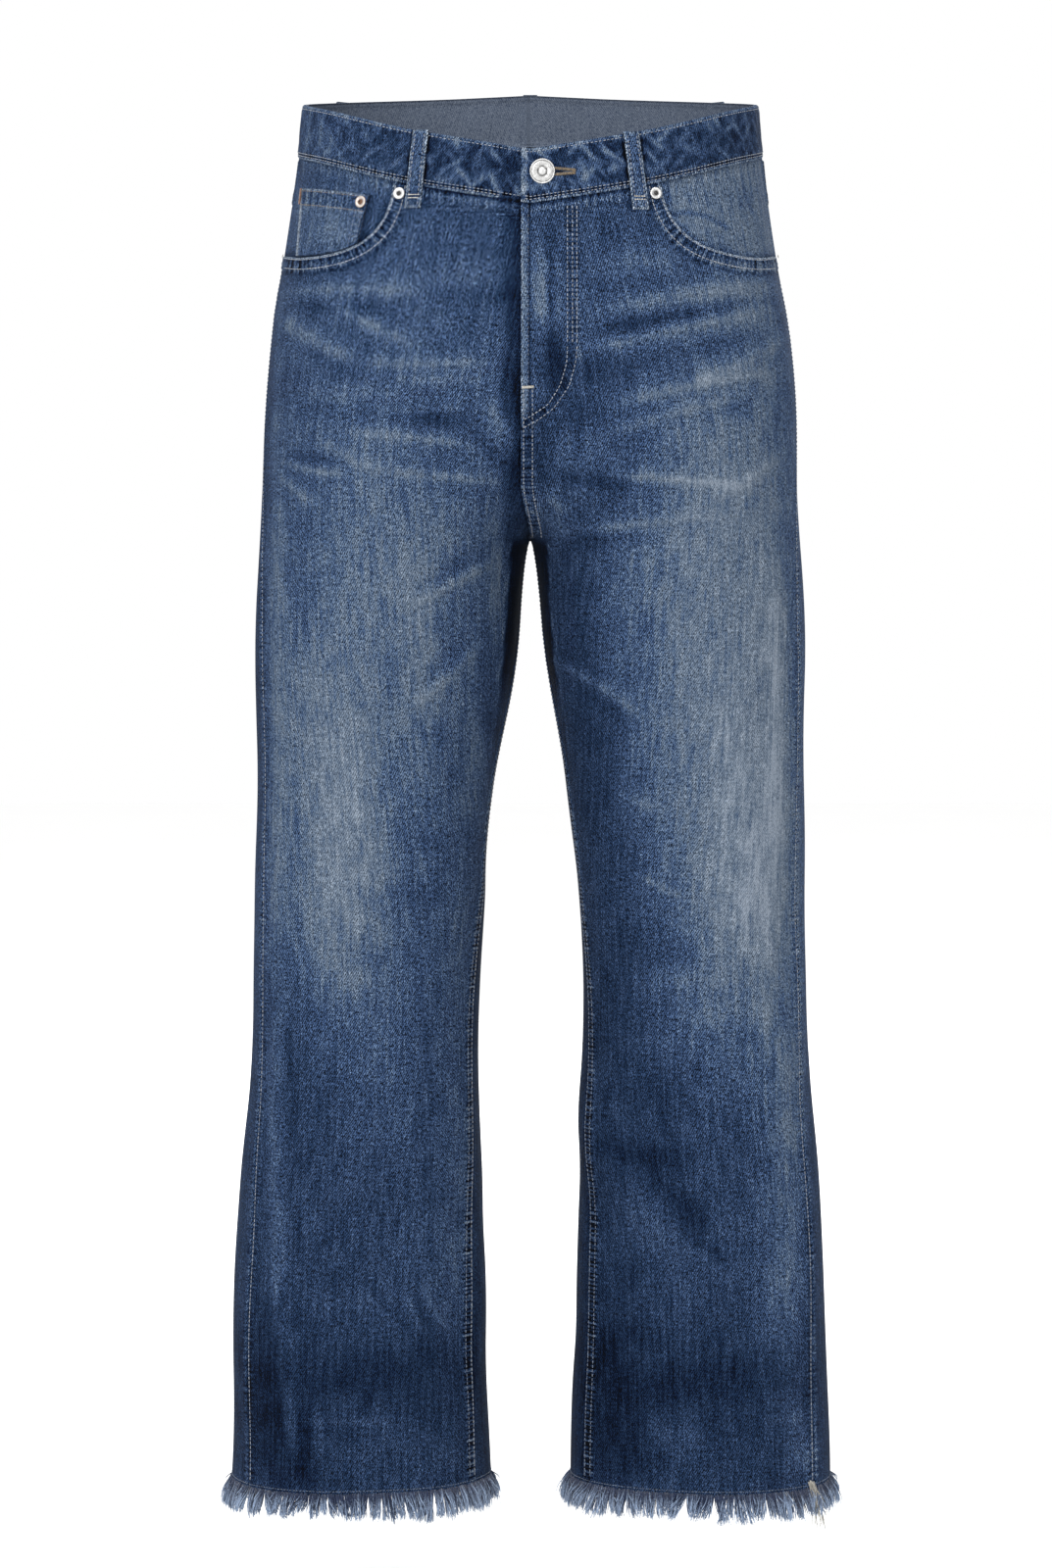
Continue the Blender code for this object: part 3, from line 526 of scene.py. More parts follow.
# The J of the fly: distance inside it, measured from its outer row of stitches.
jRow = np.array([
    (34.4, -60), (34.4, -184), (33.4, -197), (28.8, -214.5), (17.6, -231.0), (6.4, -239.4), (-5.4, -245.6),
], float)


def insideFly(x, z):
    d, _, _ = nearLine(x, z, jRow)
    edge = np.interp(-z, -jRow[:, 1], jRow[:, 0])
    return np.where((x < edge) & (z > -246), d, -d)


loopPlaces = [
    (1, uOf(77.2 + frontShift, bandLevel), 3.8), (-1, uOf(79.5 - frontShift, bandLevel), 2.4),
    (1, 0.66, 0.0), (-1, 0.66, 0.0), (1, 1.0, 0.0),
]


# Distance outside the nearer long edge of a belt loop, or far where it isn't.
def loopSides(number, side, u, z):
    which, centre, slant = loopPlaces[number]
    r = (float(waistSeam(centre)) + bandHeight + loopAbove - z) / (bandHeight + loopBelow + loopAbove)
    perMm = 0.5 / float(frontLength(bandLevel))
    d = np.abs(u - centre - slant * r * perMm) / perMm - loopWidth / 2
    return np.where((side == which) & (r < 1.02), d, 99.0)


# Height in the picture, and where the painted shade inside each thigh ends.
innerThighShade = np.array([
    (545, 557, 523), (600, 560, 519), (640, 564.5, 515.5), (680, 567.5, 512.5), (720, 572, 509),
    (760, 577, 504), (810, 584, 497),
], float)


# Relief, lightness, puckers, distance along the nearest seam, and wear with painted highlights, for a front
# panel.
def frontMarks(side, u, z):
    p = flatSkin(side, u, z)
    x = p[..., 0] * side
    light, lift = wornAndPaintedLight(side, u, z)
    inner, outer = (d * 2 * frontLength(z) for d in (u - frontEdgeU(side, z), outseamU(z) - u))
    hip, torso = (z > pocketMarksEnd) * 1.0, (z > crotch) * 1.0
    leg, low = (z < crotch) * 1.0, (z < sideMarksStart) * 1.0
    # The pocket's scooped hem.
    d, run, _ = nearLine(x, z, mouths[side])
    lift += hip * (0.75 * (1 - smoothstep((d - 9.6) / 1.6 + 0.5)) - 0.5 * line(d, 0, 0.9))
    wearAndHighlight = hip * (0.85 * line(d, 0.7, 1.2) + 0.30 * line(d, 9.9, 1.2))
    # Painted shade in the grooves just inside the two rows of stitches.
    light -= hip * (0.30 * line(d, 3.2, 1.4) + 0.26 * line(d, 12.0, 1.8))
    pucker = hip * bump(d, 0.5, 12.5, 3) * (0.7 + 0.3 * (x > 120))
    along = np.where((d < 14) & (z > pocketMarksEnd), run, z)
    if side > 0:  # The fly.
        fly, high, below = insideFly(p[..., 0], z), (z > flyMarksEnd) * 1.0, torso * (z < lapMarksEnd)
        lane = below * bump(inner, 0, 10, 1.2)
        edge = 0.46 * smoothstep((-84 - z) / 18) * bump(inner, 0.2, 4.8, 1.0) - 0.40 * line(inner, 5.9, 1.0)
        lift += high * 0.9 * smoothstep(fly / 1.6 + 0.4) + 0.6 * lane
        # Painted shade along the J's rows of stitches.
        light += (z > lapMarksEnd) * edge - high * 0.26 * line(fly, 3.8, 4.2) - 0.06 * lane
        wearAndHighlight += high * 0.16 * line(fly, -1.2, 1.6) + below * 0.25 * line(inner, 10.4, 1.2)
        wearAndHighlight += torso * 0.40 * line(inner, 0.8, 0.9) * (0.5 + 0.5 * (z > flyEnds))
        pucker = np.maximum(pucker, np.maximum(high * 0.55 * bump(fly, -2, 8, 3), 0.8 * lane))
        along = np.where((fly > -4) & (fly < 9) & (z < -190), x * 1.2 + z * 0.8, along)
    else:  # The cloth beside it.
        # Painted shadow from the lap's edge on the cloth beside it.
        shade = 0.30 * (line(inner, 0, 11.0) + line(inner, 0, 4.0))
        light -= torso * shade * (0.65 + 0.35 * (z > lapMarksEnd))
        lift -= torso * 0.9 * line(inner, 0, 6.0)
    # The felled inseam, and the side seam.
    lane = bump(inner, 0, 9.2, 1.2) * leg
    lift += 0.6 * lane + low * (0.45 * bump(outer, 0.6, 7, 3) - 0.5 * line(outer, 0, 0.8))
    light -= 0.22 * lane + low * 0.12 * line(outer, 3.4, 1.8)
    # Pale inseam edges: wear, with painted highlights on the seam's edges.
    wearAndHighlight += leg * (0.46 * line(inner, 9.8, 1.2) + 0.62 * line(inner, 0.7, 0.9))
    wearAndHighlight += low * 0.85 * line(outer, 0.8, 0.8)
    pucker = np.maximum(pucker, np.maximum(1.5 * lane, low * 0.5 * bump(outer, 0, 7, 3)))
    # Painted shade high inside the thigh, standing in for the back panel in shadow there, up to a soft pale
    # edge painted as a highlight.
    across, down = seen(p, 1)
    reach = (across - np.interp(down, innerThighShade[:, 0], innerThighShade[:, 1 if side > 0 else 2])) * -side
    there = smoothstep((down - 546) / 12) * smoothstep((810 - down) / 60)
    there = there * (0.3 + 0.7 * smoothstep((728 - down) / 56))
    light -= 0.62 * there * smoothstep(reach / 1.6 + 0.5)
    wearAndHighlight += 0.30 * there * line(reach, -1.4, 1.1)
    # The waist seam with a painted shadow under the band, the raw hem, and the painted shade beside a belt
    # loop.
    top, mouthStart = waistSeam(u) - z, mouthU[side][0]
    below = u < mouthStart + 0.02
    beside = loopSides(0 if side > 0 else 1, side, u, z)
    light += baseLight(p) - 0.45 * line(top, 0.2, 1.8) * below - 0.30 * line(beside, 0, 2.4) * (beside > -1.0)
    wearAndHighlight += 0.22 * line(top, 4.5, 2.4) * below + 0.2 * np.exp((hem - z) / 2.5)
    pucker = np.maximum(pucker, 0.6 * bump(top, -1, 14, 8) * (u < mouthStart + 0.01))
    along = np.where((top < 10) & (u < mouthStart), p[..., 0], along)
    return lift, light, pucker, along, wearAndHighlight


# Where a back panel's inner edge is.
def backEnd(side, z):
    return np.where(z >= crotch, 1.0, 1.0 + frontEdgeU(side, z))


def backMarks(side, u, z):
    light, lift = wornAndPaintedLight(side, u, z)
    outer, inner = (d * 2 * backLength(z) for d in (u - outseamU(z), backEnd(side, z) - u))
    seat = (z >= crotch) * (side > 0) * 1.0
    # Painted shade on the inner leg below the crotch, deepest just under it.
    shaded = 0.10 + 0.20 * smoothstep((z + 900) / 400) + 0.9 * smoothstep((z + 540) / 130)
    lane, d = bump(inner, 0, 10, 1.4) * seat, z - yokeSeam(np.clip(u, 0.5, 1))
    lift = lift + 0.35 * bump(outer, 1.0, 8, 3) - 0.9 * line(outer, 0, 1.2) + 0.6 * lane
    light = light + baseLight(flatSkin(side, u, z)) - 0.30 * line(outer, 0, 1.3) - 0.05 * lane
    light = light - (z < crotch) * shaded * line(inner, 0, 24.0) - 0.1 * line(inner, 0, 2.0)
    wearAndHighlight = 0.30 * line(outer, 3.0, 1.0) + 0.45 * line(inner, 0.8, 1.2) * seat
    wearAndHighlight = wearAndHighlight + 0.30 * line(d, -2.5, 1.6) + 0.2 * np.exp((hem - z) / 2.5)
    pucker = np.maximum(0.5 * bump(outer, 0, 7, 3), np.maximum(0.8 * lane, 0.7 * bump(-d, -1, 9, 4)))
    return lift, light, pucker, np.where(-d < 10, clothRun(side, u, z), z), wearAndHighlight


# Meshes.
jeans = bpy.data.collections.new("jeansLook")
bpy.context.scene.collection.children.link(jeans)
pieces = {}


# Marks are one number for each vertex; the grain's own coordinates are in millimetres.
def meshObject(name, points, faces, material, marks, grain=None):
    mesh = bpy.data.meshes.new(name)
    mesh.from_pydata((np.asarray(points) * mm).tolist(), [], np.asarray(faces).tolist())
    mesh.polygons.foreach_set("use_smooth", [True] * len(mesh.polygons))
    mesh.materials.append(material)
    for mark, values in marks.items():
        data = mesh.attributes.new(mark, "FLOAT", "POINT").data
        data.foreach_set("value", np.asarray(values, np.float32).ravel())
    if grain is not None:
        at = np.empty(len(mesh.loops), np.int32)
        mesh.loops.foreach_get("vertex_index", at)
        layer = mesh.uv_layers.new(name="grain")
        layer.data.foreach_set("uv", (np.asarray(grain, np.float32)[at] * 0.01).ravel())
    pieces[name] = bpy.data.objects.new(name, mesh)
    jeans.objects.link(pieces[name])
    return pieces[name]


# A closed sheet of cloth over rows and columns of places on the skin.
def clothGrid(name, side, u, z, marks, thickness=cloth, base=0.0, hatch=0.0):
    lift, light, pucker, along, wearAndHighlight = marks
    outer, inner = skin(side, u, z, base + lift), skin(side, u, z, base + lift - thickness)
    count = u.size
    index = np.arange(count).reshape(u.shape)
    front = np.stack([index[:-1, :-1], index[1:, :-1], index[1:, 1:], index[:-1, 1:]], -1).reshape(-1, 4)
    border = np.concatenate([index[0, :-1], index[:-1, -1], index[-1, :0:-1], index[:0:-1, 0]])
    after = np.roll(border, -1)
    rim = np.column_stack([border, after, after + count, border + count])
    row, column = u.shape[0] // 2, u.shape[1] // 2
    across, down = outer[row, column + 1] - outer[row, column], outer[row + 1, column] - outer[row, column]
    if np.dot(np.cross(down, across), outward(side, u, z)[row, column]) < 0:
        front, rim = front[:, ::-1], rim[:, ::-1]
    faces = np.concatenate([front, front[:, ::-1] + count, rim])
    found = {"tone": light, "pucker": pucker, "along": along, "wearAndHighlight": wearAndHighlight, "hatch": hatch}
    both = {mark: np.tile(np.broadcast_to(values, u.shape).ravel(), 2) for mark, values in found.items()}
    both["inner"] = np.repeat((0.0, 1.0), count)
    grain = np.column_stack([clothRun(side, u, z).ravel(), np.broadcast_to(z, u.shape).ravel()])
    points = np.concatenate([outer.reshape(-1, 3), inner.reshape(-1, 3)])
    cells = np.cross(outer[1:, :-1] - outer[:-1, :-1], outer[:-1, 1:] - outer[:-1, :-1])
    print(f"{name}: {len(faces)} faces, {np.linalg.norm(cells, axis=-1).sum() * 1e-6:.4f} m2 of cloth")
    return meshObject(name, points, faces, denim, both, np.tile(grain, (2, 1)))


# Even steps between each pair of stops, from (value, steps to the next).
def spread(*stops):
    parts = [np.linspace(a, b, n, endpoint=False) for (a, n), (b, _) in zip(stops[:-1], stops[1:])]
    return np.concatenate([*parts, [stops[-1][0]]])


# An output of a material's nodes, which arithmetic builds on.
class Socket:
    def __init__(self, nodes, output):
        self.nodes, self.output = nodes, output

    def maths(self, operation, a, b=0.0):
        return self.nodes.make("ShaderNodeMath", {"operation": operation}, {0: a, 1: b})

    def __add__(self, other):
        return self.maths("ADD", self, other)

    def __radd__(self, other):
        return self.maths("ADD", other, self)

    def __sub__(self, other):
        return self.maths("SUBTRACT", self, other)

    def __rsub__(self, other):
        return self.maths("SUBTRACT", other, self)

    def __mul__(self, other):
        return self.maths("MULTIPLY", self, other)

    def __rmul__(self, other):
        return self.maths("MULTIPLY", other, self)

    def sine(self):
        return self.maths("SINE", self)

    def larger(self, other):
        return self.maths("MAXIMUM", self, other)

    def clamp(self, low=0.0, high=1.0):
        limits = {"Value": self, "From Min": low, "From Max": high, "To Min": low, "To Max": high}
        return self.nodes.make("ShaderNodeMapRange", {"clamp": True}, limits)


# One material's node tree.
class Nodes:
    def __init__(self, name):
        self.material = bpy.data.materials.new(name)
        self.material.use_nodes = True
        self.tree = self.material.node_tree
        self.shader = self.tree.nodes["Principled BSDF"]

    def make(self, kind, settings=None, inputs=None, output=0):
        node = self.tree.nodes.new(kind)
        for key, value in (settings or {}).items():
            setattr(node, key, value)
        for key, value in (inputs or {}).items():
            self.feed(node.inputs[key], value)
        return Socket(self, node.outputs[output])

    def feed(self, target, value):
        if isinstance(value, Socket):
            self.tree.links.new(value.output, target)
        else:
            target.default_value = value

    def attribute(self, name):
        return self.make("ShaderNodeAttribute", {"attribute_name": name}, {}, "Fac")

    def noise(self, vector, scale, detail=1.0, rough=0.5):
        inputs = {"Vector": vector, "Scale": scale, "Detail": detail, "Roughness": rough}
        return self.make("ShaderNodeTexNoise", {}, inputs, 0) - 0.5

    def scaled(self, vector, by):
        return self.make("ShaderNodeVectorMath", {"operation": "MULTIPLY"}, {0: vector, 1: by})

    def mix(self, factor, a, b, blend="MIX"):
        settings = {"data_type": "RGBA", "blend_type": blend}
        return self.make("ShaderNodeMix", settings, {0: factor, 6: a, 7: b}, 2)

    def bumps(self, strength, distance, height):
        inputs = {"Strength": strength, "Distance": distance, "Height": height}
        return self.make("ShaderNodeBump", {}, inputs)

    def ramp(self, factor, stops):
        found = self.make("ShaderNodeValToRGB", {}, {0: factor})
        band = found.output.node.color_ramp
        band.interpolation = "LINEAR"
        for place, colour in stops[1:-1]:
            band.elements.new(place).color = colour
        band.elements[0].color, band.elements[-1].color = stops[0][1], stops[-1][1]
        return found

    def finish(self, **inputs):
        for key, value in inputs.items():
            self.feed(self.shader.inputs[key.replace("_", " ")], value)
        return self.material


# A displayed colour, 0 to 255, as the linear one that nodes use.
def colour(r, g, b, gain=1.0):
    linear = (c / 255 / 12.92 if c <= 10 else ((c / 255 + 0.055) / 1.055) ** 2.4 for c in (r, g, b))
    return tuple(gain * c for c in linear) + (1.0,)


denimLook = {
    "gain": 0.336,  # brightness of the whole cloth
    "slub": 0.95,  # long threads, thick and thin
    "specks": 2.3,  # short pale and dark threads
    "fine": 2.1,  # the finest grain
    "twill": 0.42,  # diagonal ribs
    "blotch": 0.45,  # wide soft patches
    "streaks": 0.4,  # streaks down the leg
    "patchy": 0.3,  # small patches
    "pucker": 2.5,  # pale and dark bars across a seam
    "hatch": 2.9,  # crossed creases of the waistband
    "shaded": 1.63,  # how much the grain darkens
    "bump": 0.5,  # relief of all of these
    "noises": {  # how often across and down in 1 mm, then detail and roughness
        "slub": (0.50, 0.022, 2.0, 0.65),
        "specks": (0.80, 0.36, 1.0, 0.6),
        "fine": (1.30, 0.85, 0.0, 0.5),
        "streaks": (0.17, 0.045, 1.0, 0.5),
    },
    "shades": (  # share of lightness, then the displayed colour there
        (0.0, 1, 4, 14), (0.1, 3, 20, 47), (0.15, 13, 32, 62), (0.2, 25, 45, 75), (0.3, 38, 59, 91),
        (0.375, 53, 74, 109), (0.45, 64, 86, 122), (0.5, 73, 96, 132), (0.56, 88, 110, 142),
        (0.64, 105, 124, 149), (0.72, 116, 132, 153), (0.8, 131, 147, 167), (1.0, 164, 177, 194),
    ),
}


def makeDenim(name, look):
    n = Nodes(name)
    grain = n.scaled(n.make("ShaderNodeUVMap", {"uv_map": "grain"}), (100.0, 100.0, 0.0))
    marks = ("tone", "pucker", "wearAndHighlight", "along", "hatch", "inner")
    tone, pucker, wearAndHighlight, along, hatch, inner = (n.attribute(mark) for mark in marks)
    slub, specks, fine, streaks = (
        n.noise(n.scaled(grain, (across, down, 1.0)), 1.0, detail, rough)
        for across, down, detail, rough in look["noises"].values()
    )
    blotch, patchy = n.noise(grain, 0.035, 3.0, 0.6), n.noise(grain, 0.22, 2.0, 0.7)
    run, rise = (n.make("ShaderNodeSeparateXYZ", {}, {0: grain}, k) for k in (0, 1))
    twill = ((run * 0.86 - rise * 0.51) * (6.283 / 1.5) + fine * 4.0).sine()
    bars = {"W": along * 0.33, "Scale": 1.0, "Detail": 1.0}
    bars = n.make("ShaderNodeTexNoise", {"noise_dimensions": "1D"}, bars) - 0.5
    bars = bars * 0.7 + n.noise(grain, 0.30, 1.0) * 0.5 + (along * 2.15 + bars * 5.0).sine() * 0.10
    turned = (n.make("ShaderNodeMapping", {}, {0: grain, 2: (0, 0, angle)}) for angle in (0.85, -0.75))
    first, second = (n.noise(n.scaled(place, (0.16, 0.05, 1.0)), 1.0, 0.0) for place in turned)
    crossed = (first.larger(second) - 0.05).clamp(-0.09, 0.4)
    pale, deep = tone.clamp(0.0, 0.9), tone.clamp(-0.5, 0.0)
    grainy = specks * look["specks"] + fine * look["fine"] + twill * look["twill"]
    grainy = grainy * (1.0 - hatch * 0.3)
    shaded = 1.0 + grainy * (look["shaded"] - pale * 1.45 + deep * 1.7)  # darkens more than it greys
    light = tone + 0.30 + grainy * 0.22 + slub * (pale * 0.5 + look["slub"])
    light = light + patchy * (pale * 0.7 + look["patchy"]) + blotch * look["blotch"]
    light = light + streaks * (pale * 0.65 + look["streaks"]) + bars * pucker * look["pucker"]
    light = light + crossed * hatch * look["hatch"] + wearAndHighlight * (patchy * 2.0 + grainy * 0.3 + 1.0)
    stops = [(place, colour(*shade, look["gain"])) for place, *shade in look["shades"]]
    grey = n.make("ShaderNodeCombineXYZ", {}, {0: shaded, 1: shaded, 2: shaded})
    outside = n.mix(1.0, n.ramp(light * 0.5 + 0.25, stops), grey, "MULTIPLY")
    weft = (0.5 + specks * 0.9 + fine * 0.8 + twill * 0.15 + slub * 0.5).clamp()
    inside = n.mix(weft, *(colour(*shade, look["gain"] * 1.15) for shade in ((56, 72, 100), (146, 157, 174))))
    height = specks * 0.35 + fine * 0.3 + twill * 0.12 + slub * 0.3
    height = height + bars * pucker * 2.2 + crossed * hatch * 0.5
    return n.finish(
        Base_Color=n.mix(inner, outside, inside),
        Roughness=0.88 + specks * 0.2,
        Normal=n.bumps(look["bump"], 0.0009, height),
        Specular_IOR_Level=0.05,
        Sheen_Weight=0.02,
        Sheen_Roughness=0.45,
        Sheen_Tint=colour(150, 175, 215),
    )


def makeThread(name, dark, pale, rough=0.8, gain=0.50):
    n = Nodes(name)
    place = n.make("ShaderNodeTexCoord", {}, {}, "Object")
    mottle = (n.noise(place, 900.0, 1.0) * 2.2 + 0.5).clamp()
    mottle, twist = (mottle * 0.6 + n.attribute("tone")).clamp(), n.noise(place, 3500.0, 0.0)
    return n.finish(
        Base_Color=n.mix(mottle, colour(*dark, gain), colour(*pale, gain)),
        Roughness=rough + twist * 0.1,
        Normal=n.bumps(0.4, 0.0002, twist),
        Specular_IOR_Level=0.25,
        Sheen_Weight=0.2,
    )


def makeMetal(name, bright, stain, rough):
    n = Nodes(name)
    place = n.make("ShaderNodeTexCoord", {}, {}, "Object")
    patches = (n.noise(place, 420.0, 3.0, 0.6) * 2.4 + 0.45).clamp()
    scratch = n.noise(n.scaled(place, (900.0, 900.0, 5000.0)), 1.0, 2.0)
    return n.finish(
        Base_Color=n.mix((patches * 0.55 + n.attribute("tone")).clamp(), colour(*bright), colour(*stain)),
        Metallic=1.0,
        Roughness=rough + patches * 0.16 + scratch * 0.2,
        Normal=n.bumps(0.25, 0.0003, scratch + patches * 0.3),
    )


denim = makeDenim("denim", denimLook)
threadColours = {  # the dark and the pale of each thread
    "grey": ((112, 122, 140), (190, 195, 202)),
    "tan": ((96, 96, 100), (176, 168, 156)),
    "blue": ((64, 80, 108), (142, 154, 172)),
    "gold": ((84, 74, 62), (156, 136, 108)),
    "rust": ((104, 66, 46), (168, 116, 82)),
    "pale": ((160, 156, 146), (226, 222, 212)),
}
threads = {
    thread: makeThread(f"thread{thread.capitalize()}", *pair) for thread, pair in threadColours.items()
}
fray = makeThread("frayedThreads", (20, 36, 68), (146, 166, 195), 0.92, 0.64)
silver = makeMetal("silverMetal", (176, 176, 175), (66, 65, 65), 0.34)
copper = makeMetal("copperMetal", (172, 164, 158), (96, 72, 58), 0.38)
# Dark metal for each rivet's middle, painted as the shade in the rivet's central hole.
holeShade = makeMetal("holeShadeMetal", (60, 58, 56), (26, 25, 25), 0.4)
print("materials made")

# The four leg panels. Their rows lie closest at the top and at the crotch.
hipLevel, underBand = -190, 3.0
closeRows = np.concatenate([[0, 0.006, 0.014, 0.025, 0.04], np.linspace(0.06, 1, 52)])
legRows = spread((hipLevel, 46), (-300, 30), (-360, 90), (-640, 72), (hem, 0))[1:]


def panelRows(top):
    upper = top + (hipLevel - top) * closeRows[:, None]
    return np.concatenate([upper, np.repeat(legRows[:, None], top.size, 1)])


def makeFront(side, name):
    edge, seamGap = float(frontEdgeU(side, pocketLevel)), 0.25
    start = float((mouthU[side][0] - edge) / (0.5 - edge))
    columns = spread(
        (0.0, 2), (0.006, 13), (0.045, 20), (start, 12), (start + 0.035, 10), (start + 0.13, 22),
        (0.95, 6), (0.99, 3), (1.0, 0),
    )
    gap = float(frontU(pocketLevel, seamGap))
    u = edge + gap + (0.5 - gap - edge - gap) * columns
    z = panelRows(frontTop(side, u) + np.where(u < mouthU[side][0], underBand, -seamGap))
    start, end = frontEdgeU(side, z) - frontU(z, 0.1), outseamU(z) + frontU(z, 0.15)
    u = start + (end - start) * columns
    lift, *others = frontMarks(side, u, z)
    lift = np.where(z - waistSeam(u) > -1.5, -0.7, lift)
    if side < 0:  # The under side of the fly runs on below the lap.
        wide = 18.0 * smoothstep((z + 262) / 30)
        u = u - line(columns, 0, 0.02) * frontU(z, wide) * (z > crotch)
        lift = np.where((z > crotch) & (u < frontEdgeU(side, z) + frontU(z, 1.0)), -1.7, lift)
    return clothGrid(name, side, u, z, (lift, *others))


def makeBack(side, name):
    columns = spread((0.0, 3), (0.008, 5), (0.05, 44), (0.95, 8), (1.0, 0))
    z = panelRows(yokeSeam(0.5 + 0.5 * columns) + underBand)
    perMm, seam, end = 0.5 / backLength(z), outseamU(z), backEnd(side, z)
    start, stop = seam - 3.0 * perMm, end + 2.5 * perMm
    u = start + (stop - start) * columns
    lift, *others = backMarks(side, np.clip(u, 0, 1.2), z)
    under = (u - seam < 0.3 * perMm) | ((end - u < 0.3 * perMm) & ((z < crotch) | (side < 0)))
    under = under | (z > yokeSeam(np.clip(u, 0.5, 1)) - 0.3)
    return clothGrid(name, side, u, z, (np.where(under, -1.4, lift), *others))


for side, word in ((1, "Left"), (-1, "Right")):
    node = word.lower()
    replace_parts(makeFront(side, f"front{word}"), f"front_{node}")
    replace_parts(makeBack(side, f"back{word}"), f"back_{node}")
print("leg panels made")


def makeYoke(side, name):
    u = 0.5 + 0.5 * np.linspace(0, 1, 72)
    top, low = waistSeam(u) + underBand, yokeSeam(u) - 0.1
    z = top + (low - top) * np.linspace(0, 1, 22)[:, None]
    u = np.broadcast_to(u, z.shape)
    light, lift = wornAndPaintedLight(side, u, z)
    d, over, outer = z - yokeSeam(u), z - waistSeam(u), (u - 0.5) * 2 * backLength(z)
    lift = np.where(over > -1.5, -0.7, lift + 0.5 + 0.3 * bump(d, 0.5, 9, 2))
    wearAndHighlight = 0.6 * line(d, 0.7, 1.2) + 0.3 * line(over, -3, 2) + 0.4 * line(outer, 0.7, 1.1)
    pucker = np.maximum(0.8 * bump(d, 0, 9, 3), 0.6 * bump(-over, 0, 12, 6))
    return clothGrid(name, side, u, z, (lift, light - 0.02, pucker, clothRun(side, u, z), wearAndHighlight))


pocketFacing = {
    "lighter": {1: 0.42, -1: 0.17},
    "creases": (((684, 219), (700, 216), (722, 220), (744, 232)), ((700, 190), (730, 200), (770, 196))),
}


def makeFacing(side, name):
    low = uOf(pocketStart + side * frontShift - 12, pocketLevel)
    u = low + (0.5 - low + 0.001) * np.linspace(0, 1, 46)
    top = waistSeam(u) + 2.0
    z = top + (facingEnds - top) * np.linspace(0, 1, 44)[:, None]
    u = np.broadcast_to(u, z.shape)
    light, lift = wornAndPaintedLight(side, u, z)
    p, over, edge = flatSkin(side, u, z), waistSeam(u) - z, (0.5 - u) * 2 * frontLength(z)
    x, y = seen(p, 1)
    d, _, _ = nearLine(p[..., 0] * side, z, mouths[side])
    # The last term is a painted shadow along the inside of the pocket mouth.
    light = light + pocketFacing["lighter"][side] + 0.08 * line(over, 4, 3) - 0.40 * line(d, 0, 3.5)
    if side > 0:
        # Creases, with painted shade in them and a painted highlight beside the first.
        crease, second = (nearLine(x, y, route)[0] for route in pocketFacing["creases"])
        light = light - 0.31 * line(crease, 0, 2.8) + 0.12 * line(crease, 5.5, 3.5)
        light = light - 0.08 * line(second, 0, 7)
        lift = lift * 0.5 - 0.7 * line(crease, 0, 4) - 0.3 * line(second, 0, 7)
    else:  # The shade round the coin pocket.
        light = light - 0.24 * line(x, 322, 30) * line(y, 182, 14)
        light = light - 0.22 * line(x, 388, 12) * line(y, 222, 20)
        coinSide = -p[..., 0] - (coinPocket["x"] - 0.2 * (z - coinPocket["z"]))
        light = light - 0.50 * line(coinSide, 0, 4.0) * (z < -73)
    lift = lift * 0.6 + (cloth + layerGap) * smoothstep((9.0 - edge) / 9.0)
    marks = (lift, light, 0.35 * bump(over, 0, 10, 5), p[..., 0], 0.1 * line(edge, 1.0, 1.2))
    return clothGrid(name, side, u, z, marks, base=-cloth - layerGap)


# Its upper corner nearer the fly, its width and rise there, and the same corner and width at its foot.
coinPocket = {"x": 118.5, "z": -74.6, "wide": 53.0, "rise": 9.1, "lowX": 127.5, "lowWide": 47.5}


# x, z and the height of the upper edge, for a place c across the coin pocket and r down it.
def coinSpot(c, r):
    x, lowX = coinPocket["x"] + coinPocket["wide"] * c, coinPocket["lowX"] + coinPocket["lowWide"] * c
    high = coinPocket["z"] + coinPocket["rise"] * c
    low = np.interp(lowX, mouths[-1][:, 0], mouths[-1][:, 1]) + 1.2
    return x + (lowX - x) * r, high + (low - high) * r, high


def makeCoinPocket():
    columns = spread((0, 4), (0.05, 26), (0.95, 4), (1.0, 0))
    c, r = np.meshgrid(columns, spread((0, 4), (0.04, 12), (0.24, 24), (1.0, 0)))
    x, z, high = coinSpot(c, r)
    u = uOf(x, z)
    down, left, right = high - z, c * coinPocket["wide"], (1 - c) * 50.0
    wearAndHighlight = 0.45 * line(down, 0.7, 1.1) + 0.22 * line(down, 12.5, 1.2) + 1.5 * line(right, 0.9, 1.0)
    light = wornAndPaintedLight(-1, u, z)[0] + 0.13 + 0.18 * line(down, 26, 13) * line(left, 28, 17)
    light = light - 0.12 * bump(down, 1, 11, 2) - 0.35 * line(left, 0.4, 1.0)
    lift = 0.35 * bump(down, 0.4, 12, 1.5) - 0.25 * line(left, 0, 1.0) - 0.3 * line(right, 0, 1.2)
    lift = lift + 0.125 * np.sin(left * 0.9) * bump(down, 1, 12, 3)
    pucker = np.maximum(0.6 * bump(down, 0.5, 13, 3), 0.5 * bump(left, 0, 7, 3))
    marks = (lift, light, pucker, np.where(down < 15, left, z), wearAndHighlight)
    return clothGrid("coinPocket", -1, u, z, marks, cloth - 0.1, base=-0.3)


backPocket = {"wide": 145.0, "high": 150.0, "belowYoke": 24.0, "point": 20.0, "taper": 0.14, "middle": 0.755}


# u, z and the width, for a place c across a back pocket and r down it.
def backPocketSpot(c, r):
    width = backPocket["wide"] * (1 - backPocket["taper"] * r)
    u = backPocket["middle"] + (0.5 - c) * 0.5 * width / float(backLength(-170))
    point = backPocket["point"] * (1 - np.abs(2 * c - 1)) * r
    return u, yokeSeam(u) - backPocket["belowYoke"] - backPocket["high"] * r - point, width


